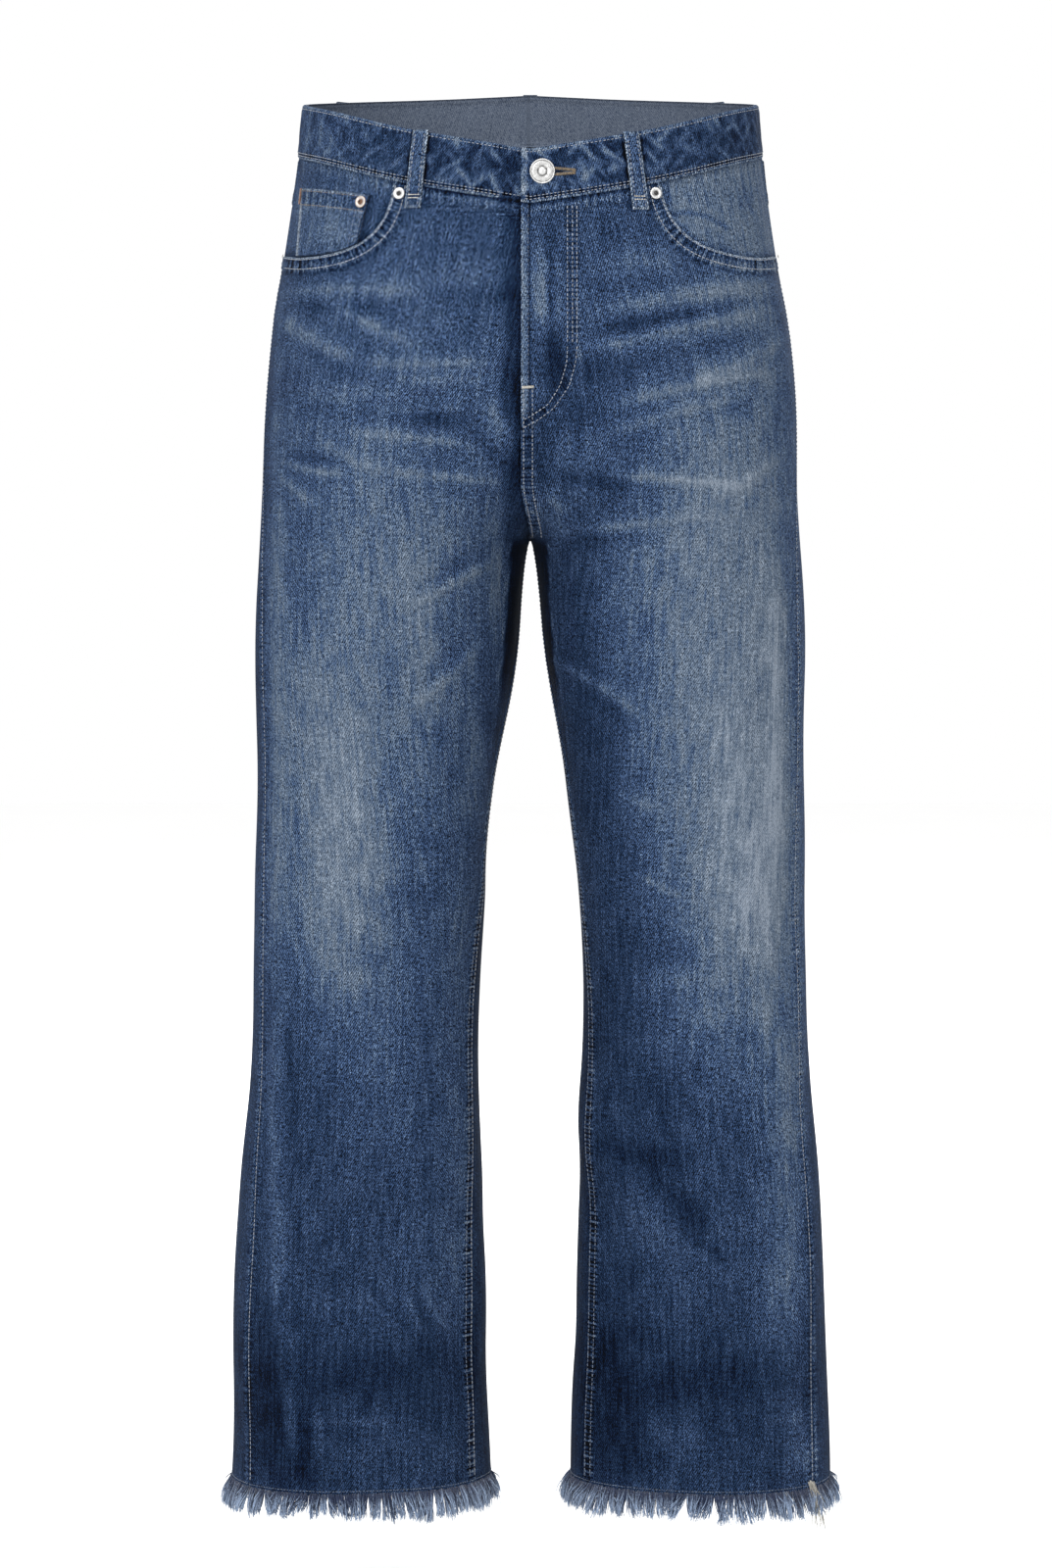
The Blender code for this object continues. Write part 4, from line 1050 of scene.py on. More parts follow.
def makeBackPocket(side, name):
    rows = spread((0, 5), (0.03, 8), (0.12, 44), (0.97, 5), (1.0, 0))
    c, r = np.meshgrid(spread((0, 5), (0.03, 40), (0.97, 5), (1.0, 0)), rows)
    u, z, width = backPocketSpot(c, r)
    light, lift = wornAndPaintedLight(side, u, z)
    down, off, up = backPocket["high"] * r, np.minimum(c, 1 - c) * width, (1 - r) * backPocket["high"]
    edge = np.minimum(off, up)
    wearAndHighlight = 0.6 * line(edge, 0.6, 1.1) + 0.6 * line(down, 0.6, 1.1) + 0.2 * line(down, 13, 1.4)
    lift = lift + 1.0 * np.sin(np.pi * c) * np.sin(np.pi * r) + 0.4 * bump(down, 0.5, 13, 1.5)
    lift = lift - 0.5 * line(edge, 0, 0.9)
    pucker = np.maximum(0.8 * bump(edge, 0, 9, 3), bump(down, 0, 13, 3))
    along = np.where((down >= 14) & (off < up), down, c * width)
    marks = (lift, light + 0.10, pucker, along, wearAndHighlight + 0.16 * line(edge, 9.5, 1.5))
    return clothGrid(name, side, u, z, marks, base=cloth + pocketGap)


def makeFlyFacing():
    top = waistSeam(0.0)
    z = top - 0.5 + (flyEnds - top) * spread((0, 30), (0.65, 30), (0.96, 8), (1.0, 0))
    turn = np.maximum(0, (flyStraightEnds - z) / (flyStraightEnds - flyEnds))
    wide = -5 + (flyWidth + 5) * np.sqrt(np.maximum(0, 1 - turn * turn))
    x = -12 + (wide[:, None] + 12) * np.linspace(0, 1, 14)
    z = np.repeat(z[:, None], 14, 1)
    u = uOf(x, z)
    zero = np.zeros(u.shape)
    marks = (wornAndPaintedLight(1, u, z)[1] * 0.5, zero - 0.1, zero, z, zero)
    return clothGrid("flyFacing", 1, u, z, marks, base=-cloth - layerGap - 0.5)


# Side, u, height and lift of a place on the waistband, as along runs from the lap round to the under-lap.
def bandSpot(along, row):
    along, row = together(along, row)
    side, u = np.where(along <= 1, 1.0, -1.0), np.where(along <= 1, along, 2 - along)
    z = waistSeam(u) + 0.25 + bandHeight * row
    start, end = 2 - uOf(34.0, -62.0), 2 - uOf(flyLap + 2, -62.0)
    under = smoothstep((along - start) / (end - start)) * (along > 1)
    return side, u, z, -under * (bandThickness + layerGap)


def bandRelief(along, row):
    up, down = row * bandHeight, (1 - row) * bandHeight
    padded = 0.35 * bump(up, 4.5, 36, 4) - 0.28 * (line(up, 2.6, 0.8) + line(down, 2.6, 0.8))
    waves = ((0.22, 61, 3), (0.16, 143, -5), (0.12, 217, 9))
    wave = sum(size * np.sin(along * often + row * lean) for size, often, lean in waves)
    return padded - line(up, 0, 0.8) - line(down, 0, 0.8) + wave * (0.4 + 0.6 * np.sin(np.pi * row))


bandStart, bandEnd = -uOf(flyLap, bandLevel), 2 + uOf(underlap, bandLevel)
buttonhole = {"eye": 2.6, "length": 21.5, "width": 1.3, "middle": 11.6, "through": 7.0}


def makeWaistband():
    near, far = (uOf(78 + frontShift * sign, bandLevel) for sign in (1, -1))
    columns = spread(
        (bandStart, 8), (bandStart + 0.02, 32), (near - 0.04, 34), (near + 0.04, 20), (0.25, 60), (0.5, 160),
        (1.5, 60), (1.75, 24), (2 - far - 0.04, 34), (2 - far + 0.04, 30), (bandEnd, 0),
    )
    a, r = np.meshgrid(columns, spread((0, 4), (0.04, 5), (0.14, 16), (0.86, 5), (0.96, 4), (1.0, 0))[::-1])
    side, u, z, under = bandSpot(a, r)
    up, down = r * bandHeight, (1 - r) * bandHeight
    p = flatSkin(side, u, z)
    x, front = p[..., 0], (p[..., 1] < 0) * 1.0
    end = np.where(a < 0.3, x + flyLap, 99.0)
    lift = bandRelief(a, r) + under - 0.7 * line(end, 0, 1.0)
    wearAndHighlight = 0.7 * line(up, 0.9, 0.9) + 0.45 * line(down, 0.9, 1.2) + 0.6 * line(end, 1.8, 1.8)
    light = -0.16 + 0.10 * line(end, 8, 6) - 0.40 * line(up, 3.2, 1.3) - 0.35 * line(end, 6.6, 1.2)
    # Painted shadows on the band beside the two front belt loops.
    for number in (0, 1):
        beside = loopSides(number, side, u, z)
        light = light - 0.75 * line(beside, 0, 1.8) * (beside > -1.0)
    pools = 0.20 * line(x, 40, 10) * line(up, 22, 12) + 0.14 * line(x, -160, 40) * line(up, 20, 20)
    light = light + front * (pools - 0.04 * line(up, 22, 10))
    between = front * smoothstep((96 - np.abs(x)) / 20)
    hatch = bump(up, 4, 39, 6) * (0.45 + 0.20 * (x > 0) + 0.45 * between).clip(0, 1)
    pucker = 0.7 * np.maximum(bump(up, 0, 7, 3), 0.6 * bump(down, 0, 6, 3))
    marks = (lift, light, pucker, clothRun(1, u, z) * side, wearAndHighlight)
    return clothGrid("waistBand", side, u, z, marks, bandThickness, bandLift, hatch)


# The button's place on the band, with its Z outward and its X along the band.
def placeButton():
    height = float(waistSeam(uOf(buttonX, bandLevel))) + bandHeight * buttonUpBand
    at = Vector(skin(1, uOf(buttonX, height), height, bandLift).tolist()) * mm
    axis = Vector(outward(1, uOf(buttonX, height), height).tolist())
    turn = Matrix(((1, 0, -axis.x, 0), (0, 0, axis.y, 0), (0, -1, axis.z, 0), (0, 0, 0, 1)))
    return Matrix.Translation(at) @ turn


# The keyhole shape: a round eye and a slit that runs from it.
def cutButtonhole(band, place):
    through = buttonhole["through"] * mm
    bpy.ops.mesh.primitive_cylinder_add(vertices=16, radius=buttonhole["eye"] * mm, depth=through)
    eye = bpy.context.object
    bpy.ops.mesh.primitive_cube_add(size=1)
    slit = bpy.context.object
    slit.scale = (buttonhole["length"] * mm, buttonhole["width"] * mm, through)
    slit.location = (buttonhole["middle"] * mm, 0, 0)
    bpy.context.view_layer.update()
    for cutter in (eye, slit):
        cutter.matrix_world = place @ cutter.matrix_world
        cut = band.modifiers.new("cut", "BOOLEAN")
        cut.operation, cut.object, cut.solver = "DIFFERENCE", cutter, "EXACT"
        bpy.context.view_layer.update()
        bpy.context.view_layer.objects.active = band
        bpy.ops.object.modifier_apply(modifier="cut")
        bpy.data.objects.remove(cutter)


for side, word in ((1, "Left"), (-1, "Right")):
    node = word.lower()
    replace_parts(makeYoke(side, f"yoke{word}"), f"yoke_{node}")
    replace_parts(makeFacing(side, f"pocketFacing{word}"), f"pocket_facing_{node}")
    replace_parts(makeBackPocket(side, f"backPocket{word}"), f"back_pocket_{node}")
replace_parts(makeCoinPocket(), "coin_pocket")
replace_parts(makeFlyFacing(), "fly_facing")
band, buttonFrame = makeWaistband(), placeButton()
cutButtonhole(band, buttonFrame)
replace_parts(band, "waistband")
print("pockets and waistband made")


# Side, u, height and lift of a place c across a belt loop and r down it.
def loopSpot(number, c, r):
    side, centre, slant = loopPlaces[number]
    z = float(waistSeam(centre)) + bandHeight + loopAbove - (bandHeight + loopBelow + loopAbove) * r
    perMm = 0.5 / float(frontLength(bandLevel) if centre < 0.5 else backLength(bandLevel))
    u = centre + (slant * r + (c - 0.5) * loopWidth) * perMm
    arch = 1.3 * np.sin(np.pi * np.clip(r * 1.25, 0, 1)) - 1.0 * smoothstep((r - 0.74) / 0.1)
    ends = 0.9 * smoothstep((0.03 - r) / 0.03) + 0.6 * smoothstep((r - 0.975) / 0.025)
    return side, u, z, arch - ends - 0.9 * np.abs(2 * c - 1) ** 6 + bandLift + 0.4 + loopThickness


def makeLoop(number):
    columns = spread((0, 4), (0.12, 10), (0.88, 4), (1.0, 0))
    c, r = np.meshgrid(columns, spread((0, 4), (0.04, 36), (0.96, 4), (1.0, 0)))
    side, u, z, lift = loopSpot(number, c, r)
    off, down = np.minimum(c, 1 - c) * loopWidth, 55.0 * r
    up = 55.0 - down
    wearAndHighlight = 0.6 * line(off, 0.5, 0.8) + 0.6 * line(up, 0.6, 1.0) + 0.3 * line(down, 0.8, 1.2)
    light = 0.12 - 0.20 * line(up, 9.5, 3.2) + 0.10 * line(up, 8, 4) - 0.34 * line(off, 2.5, 0.8)
    marks = (lift, light, 0.5 * bump(off, 0, 3.5, 1), z, wearAndHighlight)
    return clothGrid(f"beltLoop{number + 1}", side, u, z, marks, loopThickness)


for number in range(5):
    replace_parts(makeLoop(number), f"belt_loop_{number + 1}")


# Many four-sided tubes as one mesh: paths (tubes, points, 3), radii and tones that spread over them.
def tubes(name, paths, radii, normals, material, tone):
    paths = np.asarray(paths, float)
    count, steps, _ = paths.shape
    radii = np.broadcast_to(radii, (count, steps))[..., None]
    tangent = np.gradient(paths, axis=1)
    tangent /= np.linalg.norm(tangent, axis=-1, keepdims=True) + 1e-9
    across = np.cross(tangent, normals)
    across /= np.linalg.norm(across, axis=-1, keepdims=True) + 1e-9
    up = np.cross(across, tangent)
    turns = [math.pi / 4 + k * math.pi / 2 for k in range(4)]
    points = np.stack([paths + radii * (across * math.cos(a) + up * math.sin(a)) for a in turns], axis=2)
    k, after = np.arange(4), (np.arange(4) + 1) % 4
    first = np.arange(count)[:, None] * steps * 4
    base = first[..., None] + np.arange(steps - 1)[:, None] * 4
    faces = np.stack([base + k, base + after, base + 4 + after, base + 4 + k], -1).reshape(-1, 4)
    caps = [first + k[::-1], first + (steps - 1) * 4 + k]
    tone = np.repeat(np.broadcast_to(np.reshape(tone, (count, -1)), (count, steps)), 4)
    return meshObject(name, points.reshape(-1, 3), np.concatenate([faces, *caps]), material, {"tone": tone})


# Rows of stitches, gathered by thread and size and made as one mesh each.
class Rows:
    def __init__(self):
        self.kept = {}

    def add(self, word, thread, side, u, z, lift, length=2.5, gap=0.75, size=0.30):
        points, out = skin(side, u, z, lift), outward(side, u, z)
        run = runOf(points)
        count = max(1, int(run[-1] / (length + gap)))
        starts = (np.arange(count) + 0.5) * (run[-1] / count) - length / 2
        at = starts[:, None] + length * np.array([0.0, 0.18, 0.5, 0.82, 1.0])
        at = at + rng.normal(0, 0.12, (count, 1))
        place, normal = placesAt(at, run, points), placesAt(at, run, out)
        rise = np.array([-0.35, 0.1, 0.2, 0.1, -0.35]) * size / 0.3 - 0.04
        place = place + normal * rise[:, None]
        self.kept.setdefault((word, thread, size), []).append((place, normal))

    def make(self):
        for (word, thread, size), found in self.kept.items():
            place, normal = (np.concatenate([f[k] for f in found]) for k in (0, 1))
            name = f"stitches{word}{thread.capitalize()}{int(size * 100)}"
            radii = size * np.array([0.55, 0.95, 1.0, 0.95, 0.55])
            tubes(name, place, radii, normal, threads[thread], rng.uniform(-0.2, 0.4, len(place)))
            print(f"{name}: {len(place)} stitches")


rows = Rows()


def frontRow(word, thread, side, u, z, **options):
    rows.add(word, thread, side, u, z, frontMarks(side, u, z)[0], **options)


# Stitches on a back pocket, from places across it and down it.
def pocketRow(side, c, r, hemmed=0.0):
    u, z, _ = backPocketSpot(c, r)
    domed = np.sin(np.pi * c) * np.sin(np.pi * r)
    rows.add("Back", "tan", side, u, z, wornAndPaintedLight(side, u, z)[1] + domed + hemmed + cloth + pocketGap)


def fine(a, b, step=1.5):
    return np.linspace(a, b, max(3, int(abs(b - a) / step)))


def evenly(points, step=1.5):
    run = runOf(points)
    return placesAt(fine(0, run[-1], step), run, points).T


def hemLift(side, around, z):
    isFront = (around > frontEdgeU(side, z)) & (around < outseamU(z))
    return np.where(isFront, frontMarks(side, around, z)[0], backMarks(side, around, z)[0])


# The fly's J, three rows down the side and two round its foot.
flyRows = (26.8, 30.5, 33.7)
flyFeet = (
    ((26.8, -186), (26.4, -198), (21.6, -214.5), (12.9, -228.5), (0.6, -236.6), (-5.4, -239.6)),
    ((33.9, -186), (33.0, -197), (28.4, -214.5), (17.2, -231.0), (6.2, -239.2), (-5.4, -245.2)),
)
z = fine(-83, -184)
for x in flyRows:
    frontRow("Front", "grey", 1, uOf(x, z), z, length=2.2, gap=1.1, size=0.42)
for foot in flyFeet:
    x, z = evenly(np.array(foot, float))
    for _ in range(3):  # Rounds the corners.
        x[1:-1], z[1:-1] = (x[:-2] + x[1:-1] + x[2:]) / 3, (z[:-2] + z[1:-1] + z[2:]) / 3
    frontRow("Front", "grey", 1, uOf(x, z), z, length=2.2, gap=1.0, size=0.42)
# The lap's edge, and the seam below the fly.
z = fine(-83, -236)
frontRow("Front", "blue", 1, uOf(-1.7, z), z, size=0.26)
z = fine(-217, -326)
lap = flyLap * smoothstep((z - crotch) / (lapEnds - crotch))
for offset in (1.9, 8.4):
    frontRow("Front", "grey", 1, uOf(offset - lap, z), z, length=2.2, gap=1.1, size=0.44)
for side in (1, -1):
    # Pocket mouths.
    x, z = evenly(mouths[side], 1.0)
    dx, dz = np.gradient(x), np.gradient(z)
    length = np.hypot(dx, dz)
    for away in (1.9, 9.0):
        rowX, rowZ = x + dz / length * away, z - dx / length * away
        shows = (rowZ < -68) & (rowX < 184.5)
        frontRow("Front", "grey", side, uOf(rowX[shows], rowZ[shows]), rowZ[shows], size=0.38)
    # Inseam, outseam and hem.
    z = fine(-334, -1029)
    for offset, thread in ((1.7, "blue" if side > 0 else "grey"), (7.9, "blue")):
        frontRow("Legs", thread, side, frontEdgeU(side, z) + frontU(z, offset), z, size=0.34)
    for start, end, thread in ((-118, -262, "blue"), (-262, -1029, "grey")):
        z = fine(start, end)
        frontRow("Legs", thread, side, outseamU(z) - frontU(z, 1.9), z, size=0.30)
    z = np.full(200, hem + 3.2)
    for start, end in ((0.0, 0.46), (0.46, 1.0)):
        around = np.linspace(start, end, 200)
        rows.add("Legs", "blue", side, around, z, hemLift(side, around, z), size=0.26, length=2.0, gap=0.5)
    # Yoke and back pocket.
    u = np.linspace(0.503, 0.997, 200)
    for up in (1.8, 7.6):
        z = yokeSeam(u) + up
        rows.add("Back", "tan", side, u, z, wornAndPaintedLight(side, u, z)[1] + 0.5 + 0.3 * bump(up, 0.5, 9, 2))
    for inset in (1.8, 8.6):
        corners = [
            (c + (1 - 2 * c) * inset / backPocketSpot(c, r)[2], r - r * inset / backPocket["high"])
            for c, r in ((0, 0), (0, 1), (0.5, 1), (1, 1), (1, 0))
        ]
        for start, end in zip(corners[:-1], corners[1:]):
            pocketRow(side, *(np.linspace(a, b, 90) for a, b in zip(start, end)))
    for inset in (2.0, 12.0):
        pocketRow(side, np.linspace(0.01, 0.99, 120), np.full(120, inset / backPocket["high"]), 0.4)
# The seat seam.
z = fine(-92, -325)
for offset in (1.8, 8.2):
    u = 1.0 - 0.5 * offset / backLength(z)
    rows.add("Back", "tan", 1, u, z, backMarks(1, u, z)[0])
# Waistband: one row under its upper edge, a close pair above its lower edge, and its end.
a = np.linspace(bandStart + 0.006, bandEnd - 0.004, 1400)
for up in (2.6, 4.6, 37.4):
    side, u, z, under = bandSpot(a, up / bandHeight)
    lift = bandLift + bandRelief(a, up / bandHeight) + under
    rows.add("Band", "grey", side, u, z, lift, length=2.0, gap=1.0, size=0.36)
r = np.linspace(0.07, 0.93, 40)
side, u, z, _ = bandSpot(bandStart + 0.008, r)
rows.add("Band", "blue", side, u, z, bandLift + bandRelief(bandStart + 0.008, r), size=0.26)
for number in range(5):
    r, across = np.linspace(0.05, 0.97, 60), np.linspace(0.14, 0.86, 20)
    for c in (0.2, 0.8):
        rows.add("Band", "grey", *loopSpot(number, c + 0 * r, r), size=0.34)
    for low in (0.835, 0.875):
        rows.add("Band", "pale", *loopSpot(number, across, low + 0 * across), length=1.5, gap=0.1, size=0.46)
# Coin pocket: two golden rows under its upper edge, tonal rows at its sides.
for down in (1.9, 12.2):
    c = np.linspace(0.02, 0.98, 70)
    x, z, _ = coinSpot(c, 0)
    x, z = x + (9.0 - 5.5 * c) * down / 45, z - down
    rows.add("Front", "gold", -1, uOf(x, z), z, 0.0)
r = np.linspace(0.03, 0.97, 60)
for inset in (1.8, 7.5, coinPocket["wide"] - 1.9):
    x, z, _ = coinSpot(inset / coinPocket["wide"] + 0 * r, r)
    rows.add("Front", "blue", -1, uOf(x, z), z, -0.25, size=0.26)
rows.make()


# Bartacks: close zigzags of thread over a short line. Each spot is points and normals down its middle.
def bars(name, thread, *spots):
    paths, normals = [], []
    for points, out, half, turns in spots:
        t, run = np.linspace(0, 1, turns * 2 + 1), np.linspace(0, 1, len(points))
        base, normal = placesAt(t, run, points), placesAt(t, run, out)
        across = np.cross(np.gradient(base, axis=0), normal)
        across /= np.linalg.norm(across, axis=1, keepdims=True)
        swing = np.where(np.arange(len(t)) % 2 == 0, 1, -1)[:, None] * half
        zigzag = base + across * swing + normal * 0.15
        for a, b, m in zip(zigzag[:-1], zigzag[1:], normal[:-1]):
            paths.append([a - m * 0.25, a + m * 0.12, (a + b) / 2 + m * 0.25, b + m * 0.12, b - m * 0.25])
            normals.append([m] * 5)
    radii = 0.26 * np.array([0.7, 1, 1, 1, 0.7])
    tubes(name, paths, radii, np.array(normals), threads[thread], rng.uniform(-0.2, 0.4, len(paths)))


def frontTack(side, start, end, lift, half, turns):
    x, z = (a + (b - a) * np.linspace(0, 1, 8) for a, b in zip(start, end))
    return skin(side, uOf(x, z), z, lift), outward(side, uOf(x, z), z), half, turns


def buttonholeTack(start, end, count, half, turns):  # from one place to another in the button's own frame
    places = [buttonFrame @ Vector((x * mm, y * mm, 0.35 * mm)) for x, y in np.linspace(start, end, count)]
    return np.array(places) / mm, np.array([buttonFrame.to_3x3() @ Vector((0, 0, 1))] * count), half, turns


sideTacks = [frontTack(side, (184.4, -114.6), (188.2, -114.6), 0.9, 0.7, 6) for side in (1, -1)]
bars("tacksPale", "pale", frontTack(1, (-6.3, -216), (2.4, -215.6), 1.5, 0.9, 16), *sideTacks)
bars("tacksRust", "rust", frontTack(-1, (170.2, -66.0), (171.2, -77.5), 0.7, 1.7, 15))
edges = [buttonholeTack((6.5, sign * 2.5), (23.5, sign * 1.1), 24, 1.0, 24) for sign in (1, -1)]
bars("buttonholeThread", "gold", *edges)
bars("buttonholeEnd", "gold", buttonholeTack((23.2, -1.9), (23.2, 1.9), 6, 1.0, 8))
print("stitches made")


# A lathed piece. The profile runs from the middle of the front to the middle of the back, with the
# radius, the height and how stained the metal is there.
def turned(name, profile, place, material, steps=64, ribs=None):
    a = np.arange(steps) * 2 * math.pi / steps
    radius, height, tone = (column[:, None] + 0 * a for column in np.array(profile, float).T)
    if ribs:
        ribbed = (radius >= ribs["from"]) & (radius <= ribs["to"])
        height = height + ribs["high"] * np.sign(np.sin(a * ribs["count"])) * ribbed
    points = np.stack([radius * np.cos(a), radius * np.sin(a), height], -1).reshape(-1, 3)
    world = np.array(place, float)
    points = points @ world[:3, :3].T + world[:3, 3] / mm
    index = np.arange(radius.size).reshape(radius.shape)
    after = np.roll(index, -1, axis=1)
    faces = np.stack([index[:-1], index[1:], after[1:], after[:-1]], -1).reshape(-1, 4)
    return meshObject(name, points, faces, material, {"tone": tone})


# Radius, height and how stained, from the middle of the button's front to the middle of its back.
buttonProfile = (
    (0.05, 3.2, -0.4), (1.2, 3.14, -0.3), (2.2, 2.9, -0.1), (2.9, 2.5, 0.2), (3.25, 2.05, 0.7),
    (3.6, 1.9, 0.6), (4.1, 2.1, 0.2), (5.0, 2.3, -0.05), (6.4, 2.35, -0.05), (7.4, 2.25, 0.0),
    (7.9, 2.05, 0.6), (8.2, 2.15, 0.3), (8.5, 2.5, -0.4), (8.85, 2.5, -0.4), (9.15, 2.1, -0.1),
    (9.25, 1.6, 0.5), (9.2, 1.2, 0.8), (8.9, 0.95, 1.0), (6.0, 0.8, 1.0), (2.3, 0.6, 1.0), (2.2, -3.0, 0.5),
    (0.05, -3.0, 0.5),
)
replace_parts(turned("waistButton", buttonProfile, buttonFrame, silver), "waist_button")


def facingFrame(side, x, z, lift):
    u = uOf(x, z)
    axis = Vector(outward(side, u, z).tolist())
    at = Vector(skin(side, u, z, lift).tolist()) * mm
    return Matrix.Translation(at) @ axis.to_track_quat("Z", "Y").to_matrix().to_4x4()


rivetProfile = (
    (0.05, 2.2, 0.3), (0.6, 2.15, 0.4), (1.0, 1.85, 0.9), (1.25, 1.35, 1.0), (1.5, 0.95, 0.9),
    (1.9, 0.8, 0.4), (2.4, 0.95, -0.1), (3.0, 1.25, -0.4), (3.6, 1.35, -0.4), (4.1, 1.15, -0.25),
    (4.45, 0.7, 0.5), (4.5, 0.3, 0.9), (0.05, 0.2, 1.0),
)
rivetRibs = {"from": 2.0, "to": 4.2, "count": 22, "high": 0.10}
rivetMiddle = ((0.05, 2.3, 0), (0.5, 2.26, 0), (0.75, 2.1, 0.3), (0.8, 1.7, 1), (0.05, 1.6, 1))
for name, node, side, x, z, lift, metal in (
    ("rivetLeft", "rivet_left", 1, pocketStart - 3.8 + frontShift, -74.2, 0.35, silver),
    ("rivetRight", "rivet_right", -1, pocketStart - 3.8 - frontShift, -74.2, 0.35, silver),
    ("rivetCoin", "rivet_coin", -1, 124.3, -79.5, 0.0, copper),
):
    place = facingFrame(side, x, z, lift)
    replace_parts(turned(name, rivetProfile, place, metal, 60, rivetRibs), node)
    # Its dark middle is painted shade of the hole.
    turned(f"{name}Middle", rivetMiddle, place, holeShade, 24)
print("hardware made")


# Threads that hang from their starts, moved sideways and outward by so much at each step down.
def hanging(name, side, start, out, length, sideways, away, radii, material, tone):
    across = np.cross(out, (0, 0, 1.0)) * -side
    paths = start[:, None] + across[:, None] * sideways[..., None] + out[:, None] * away[..., None]
    paths[..., 2] -= length[:, None] * np.linspace(0, 1, sideways.shape[1])
    return tubes(name, paths, radii, out[:, None] + np.zeros(paths.shape), material, tone)


fringeLook = {"threads": 3300, "length": 18.0, "clumps": 110, "radius": (0.30, 0.50), "short": 0.18}


# Loose warp threads below the raw hem, gathered in clumps that lean this way and that.
def makeFringe(side, name):
    count, clumps = fringeLook["threads"], fringeLook["clumps"]
    around = (np.arange(count) + rng.uniform(-1.5, 1.5, count)) / count % 1.0
    middles = (np.arange(clumps) + rng.uniform(-0.6, 0.6, clumps)) / clumps
    gap = (around[:, None] - middles + 0.5) % 1.0 - 0.5
    mine = np.argmin(np.abs(gap), axis=1)
    off, turn = gap[np.arange(count), mine] * legRound, around * 6.283
    wave = 1.6 * np.sin(turn * 3 + side) + 1.0 * np.sin(turn * 11 + 2 * side)
    clumpLength, clumpLean, clumpOut = (rng.normal(0, far, clumps)[mine] for far in (1.5, 2.3, 1.1))
    length = fringeLook["length"] + wave + clumpLength - 0.2 * np.abs(off) + rng.normal(0, 1.3, count)
    short = rng.random(count) < fringeLook["short"]
    length = np.clip(np.where(short, length * rng.uniform(0.4, 0.8, count), length), 5, 23)
    z, zRow = hem + 0.5 + 1.2 * rng.random(count), np.full(count, hem + 1.0)
    depth = rng.random(count)
    start = skin(side, around, z, hemLift(side, around, zRow) - 1.2 * depth)
    gather = -off * rng.uniform(0.0, 0.55, count)
    lean = clumpLean + 1.5 * np.sin(turn * 5 + 3 * side) + rng.normal(0, 1.3, count)
    away = 6.0 * (1 - depth) + 1.0 + clumpOut + rng.normal(0, 0.8, count)
    curl, phase = rng.normal(0, 0.7, count)[:, None], rng.uniform(0, 6.3, count)[:, None]
    s = np.linspace(0, 1, 6)
    shift = (gather + lean)[:, None] * s**1.4 + curl * np.sin(phase + s * 5) * s
    push = away[:, None] * np.sin(1.57 * s) ** 1.2 + 0.5 * curl * np.cos(phase + s * 6) * s
    radii = rng.uniform(*fringeLook["radius"], count)[:, None] * np.array([1, 1, 1, 0.95, 0.8, 0.4])
    # Strands set further in are painted darker, as shade, and each strand darkens towards its root, painted
    # shade under the hem; the tips are paler.
    tone = rng.uniform(-0.35, 0.45, count) + 0.07 * clumpOut - 0.25 * depth
    tone = tone[:, None] + np.array([-0.55, -0.35, -0.05, 0.2, 0.4, 0.55])
    out = outward(side, around, zRow)
    return hanging(name, side, start, out, length, shift, push, radii, fray, tone)


tuftLook = {"threads": 46, "length": (8, 34), "radius": (0.22, 0.36), "lean": 7.0}


# Longer pale threads torn loose by the outer seam of the wearer's left leg.
def makeTuft():
    count = tuftLook["threads"]
    z = hem + rng.uniform(0, 7, count)
    u = outseamU(z) - frontU(z, 1.5 + rng.normal(0, 1.6, count) + 0.25 * (z - hem))
    length = rng.uniform(*tuftLook["length"], count) + (z - hem) * 0.4
    lean, curl = rng.normal(tuftLook["lean"], 5.0, count)[:, None], rng.normal(0, 1.8, count)[:, None]
    phase, s = rng.uniform(0, 6.3, count)[:, None], np.linspace(0, 1, 8)
    shift = lean * s**1.2 + curl * np.sin(phase + s * 5) * s
    push = 2.5 * np.sin(2 * s) + curl * s * 0.6
    radii = rng.uniform(*tuftLook["radius"], count)[:, None] * np.array([1, 1, 1, 1, 0.95, 0.85, 0.7, 0.4])
    tone = rng.uniform(-0.5, 0.5, count)
    start, out = skin(1, u, z, 0.9), outward(1, u, z)
    hanging("looseThreads", 1, start, out, length, shift, push, radii, threads["pale"], tone)


fringes = []
for side, word in ((1, "Left"), (-1, "Right")):
    fringes.append(makeFringe(side, f"fringe{word}"))
    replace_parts(fringes[-1], f"fringe_{word.lower()}")
makeTuft()
print("fringes made")

for made in pieces.values():
    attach(made, "root")

# Stage, lights and camera.
stage = {"level": -1.13, "half": 9.0, "colours": ((0.965, 0.965, 0.962, 1), (0.98, 0.98, 0.978, 1))}


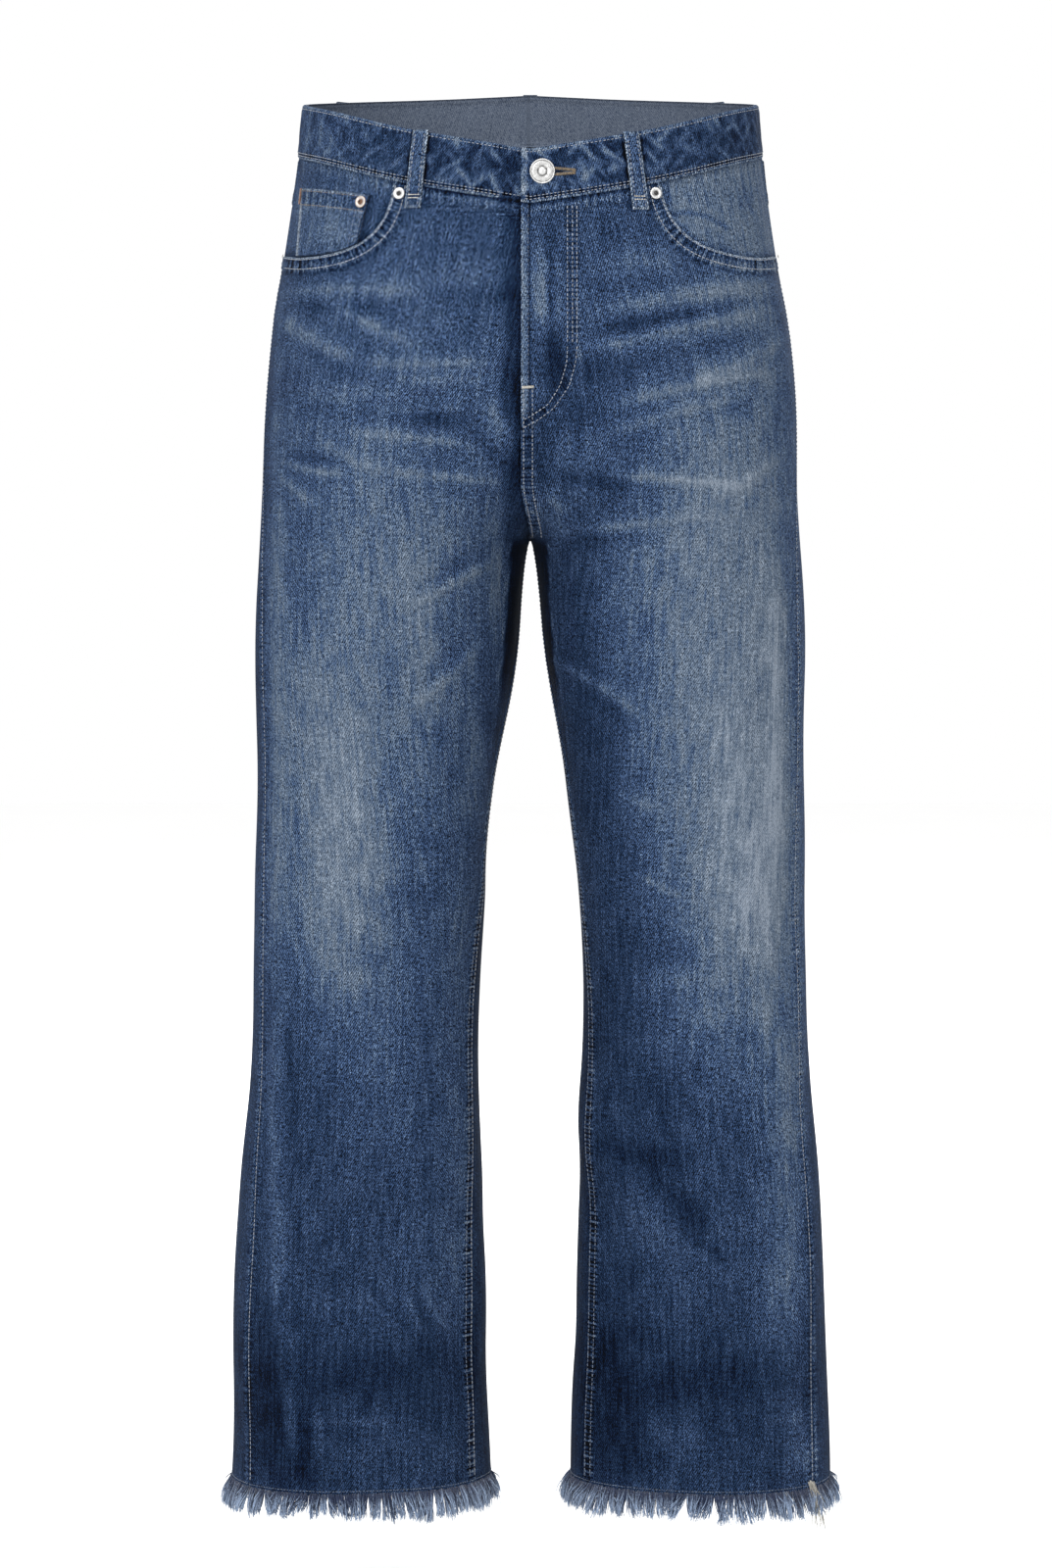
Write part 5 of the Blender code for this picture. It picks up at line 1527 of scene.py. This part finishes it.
def makeStage():
    n = Nodes("stagePaper")
    paper = n.noise(n.make("ShaderNodeTexCoord", {}, {}, "Object"), 3.0, 2.0)
    mesh = bpy.data.meshes.new("stage")
    half, level = stage["half"], stage["level"]
    corners = [(half * x, half * y, level) for x, y in ((-1, -1), (1, -1), (1, 1), (-1, 1))]
    mesh.from_pydata(corners, [], [(0, 1, 2, 3)])
    mesh.materials.append(n.finish(Base_Color=n.mix(paper + 0.5, *stage["colours"]), Roughness=0.9))
    made = bpy.data.objects.new("stage", mesh)
    bpy.context.scene.collection.objects.link(made)


# Power, place and size of each soft light. All of them aim at the middle of the jeans.
lights = {
    "key": (112, (-1.7, -3.0, 0.9), (1.6, 2.2)),
    "fill": (36, (1.9, -3.0, 0.3), (1.6, 2.2)),
    "top": (42, (0.0, -0.9, 2.0), (2.0, 1.4)),
    "back": (60, (0.6, 3.2, 0.8), (1.8, 1.8)),
}


def addLight(name, power, place, size):
    data = bpy.data.lights.new(name, "AREA")
    data.shape, data.size, data.size_y, data.energy = "RECTANGLE", *size, power
    made = bpy.data.objects.new(name, data)
    made.location = place
    made.rotation_euler = (Vector((0, 0, -0.5)) - Vector(place)).to_track_quat("-Z", "Y").to_euler()
    bpy.context.scene.collection.objects.link(made)


makeStage()
for name, settings in lights.items():
    addLight(name, *settings)
world = bpy.data.worlds.new("studio")
world.use_nodes = True
background = world.node_tree.nodes["Background"]
background.inputs["Color"].default_value, background.inputs["Strength"].default_value = (1, 1, 1, 1), 1.0
bpy.context.scene.world = world
bpy.context.scene.view_settings.view_transform = "Standard"

view = {"lens": 100.5, "sensor": 36.0, "place": (-0.0033, -3.3, -0.305), "tilt": 90, "shiftUp": -0.175}
camera = bpy.data.objects.new("camera", bpy.data.cameras.new("camera"))
camera.data.lens, camera.data.sensor_width = view["lens"], view["sensor"]
camera.data.shift_y, camera.location = view["shiftUp"], view["place"]
camera.rotation_euler = (math.radians(view["tilt"]), 0, 0)
bpy.context.scene.collection.objects.link(camera)
bpy.context.scene.camera = camera

bpy.context.view_layer.update()
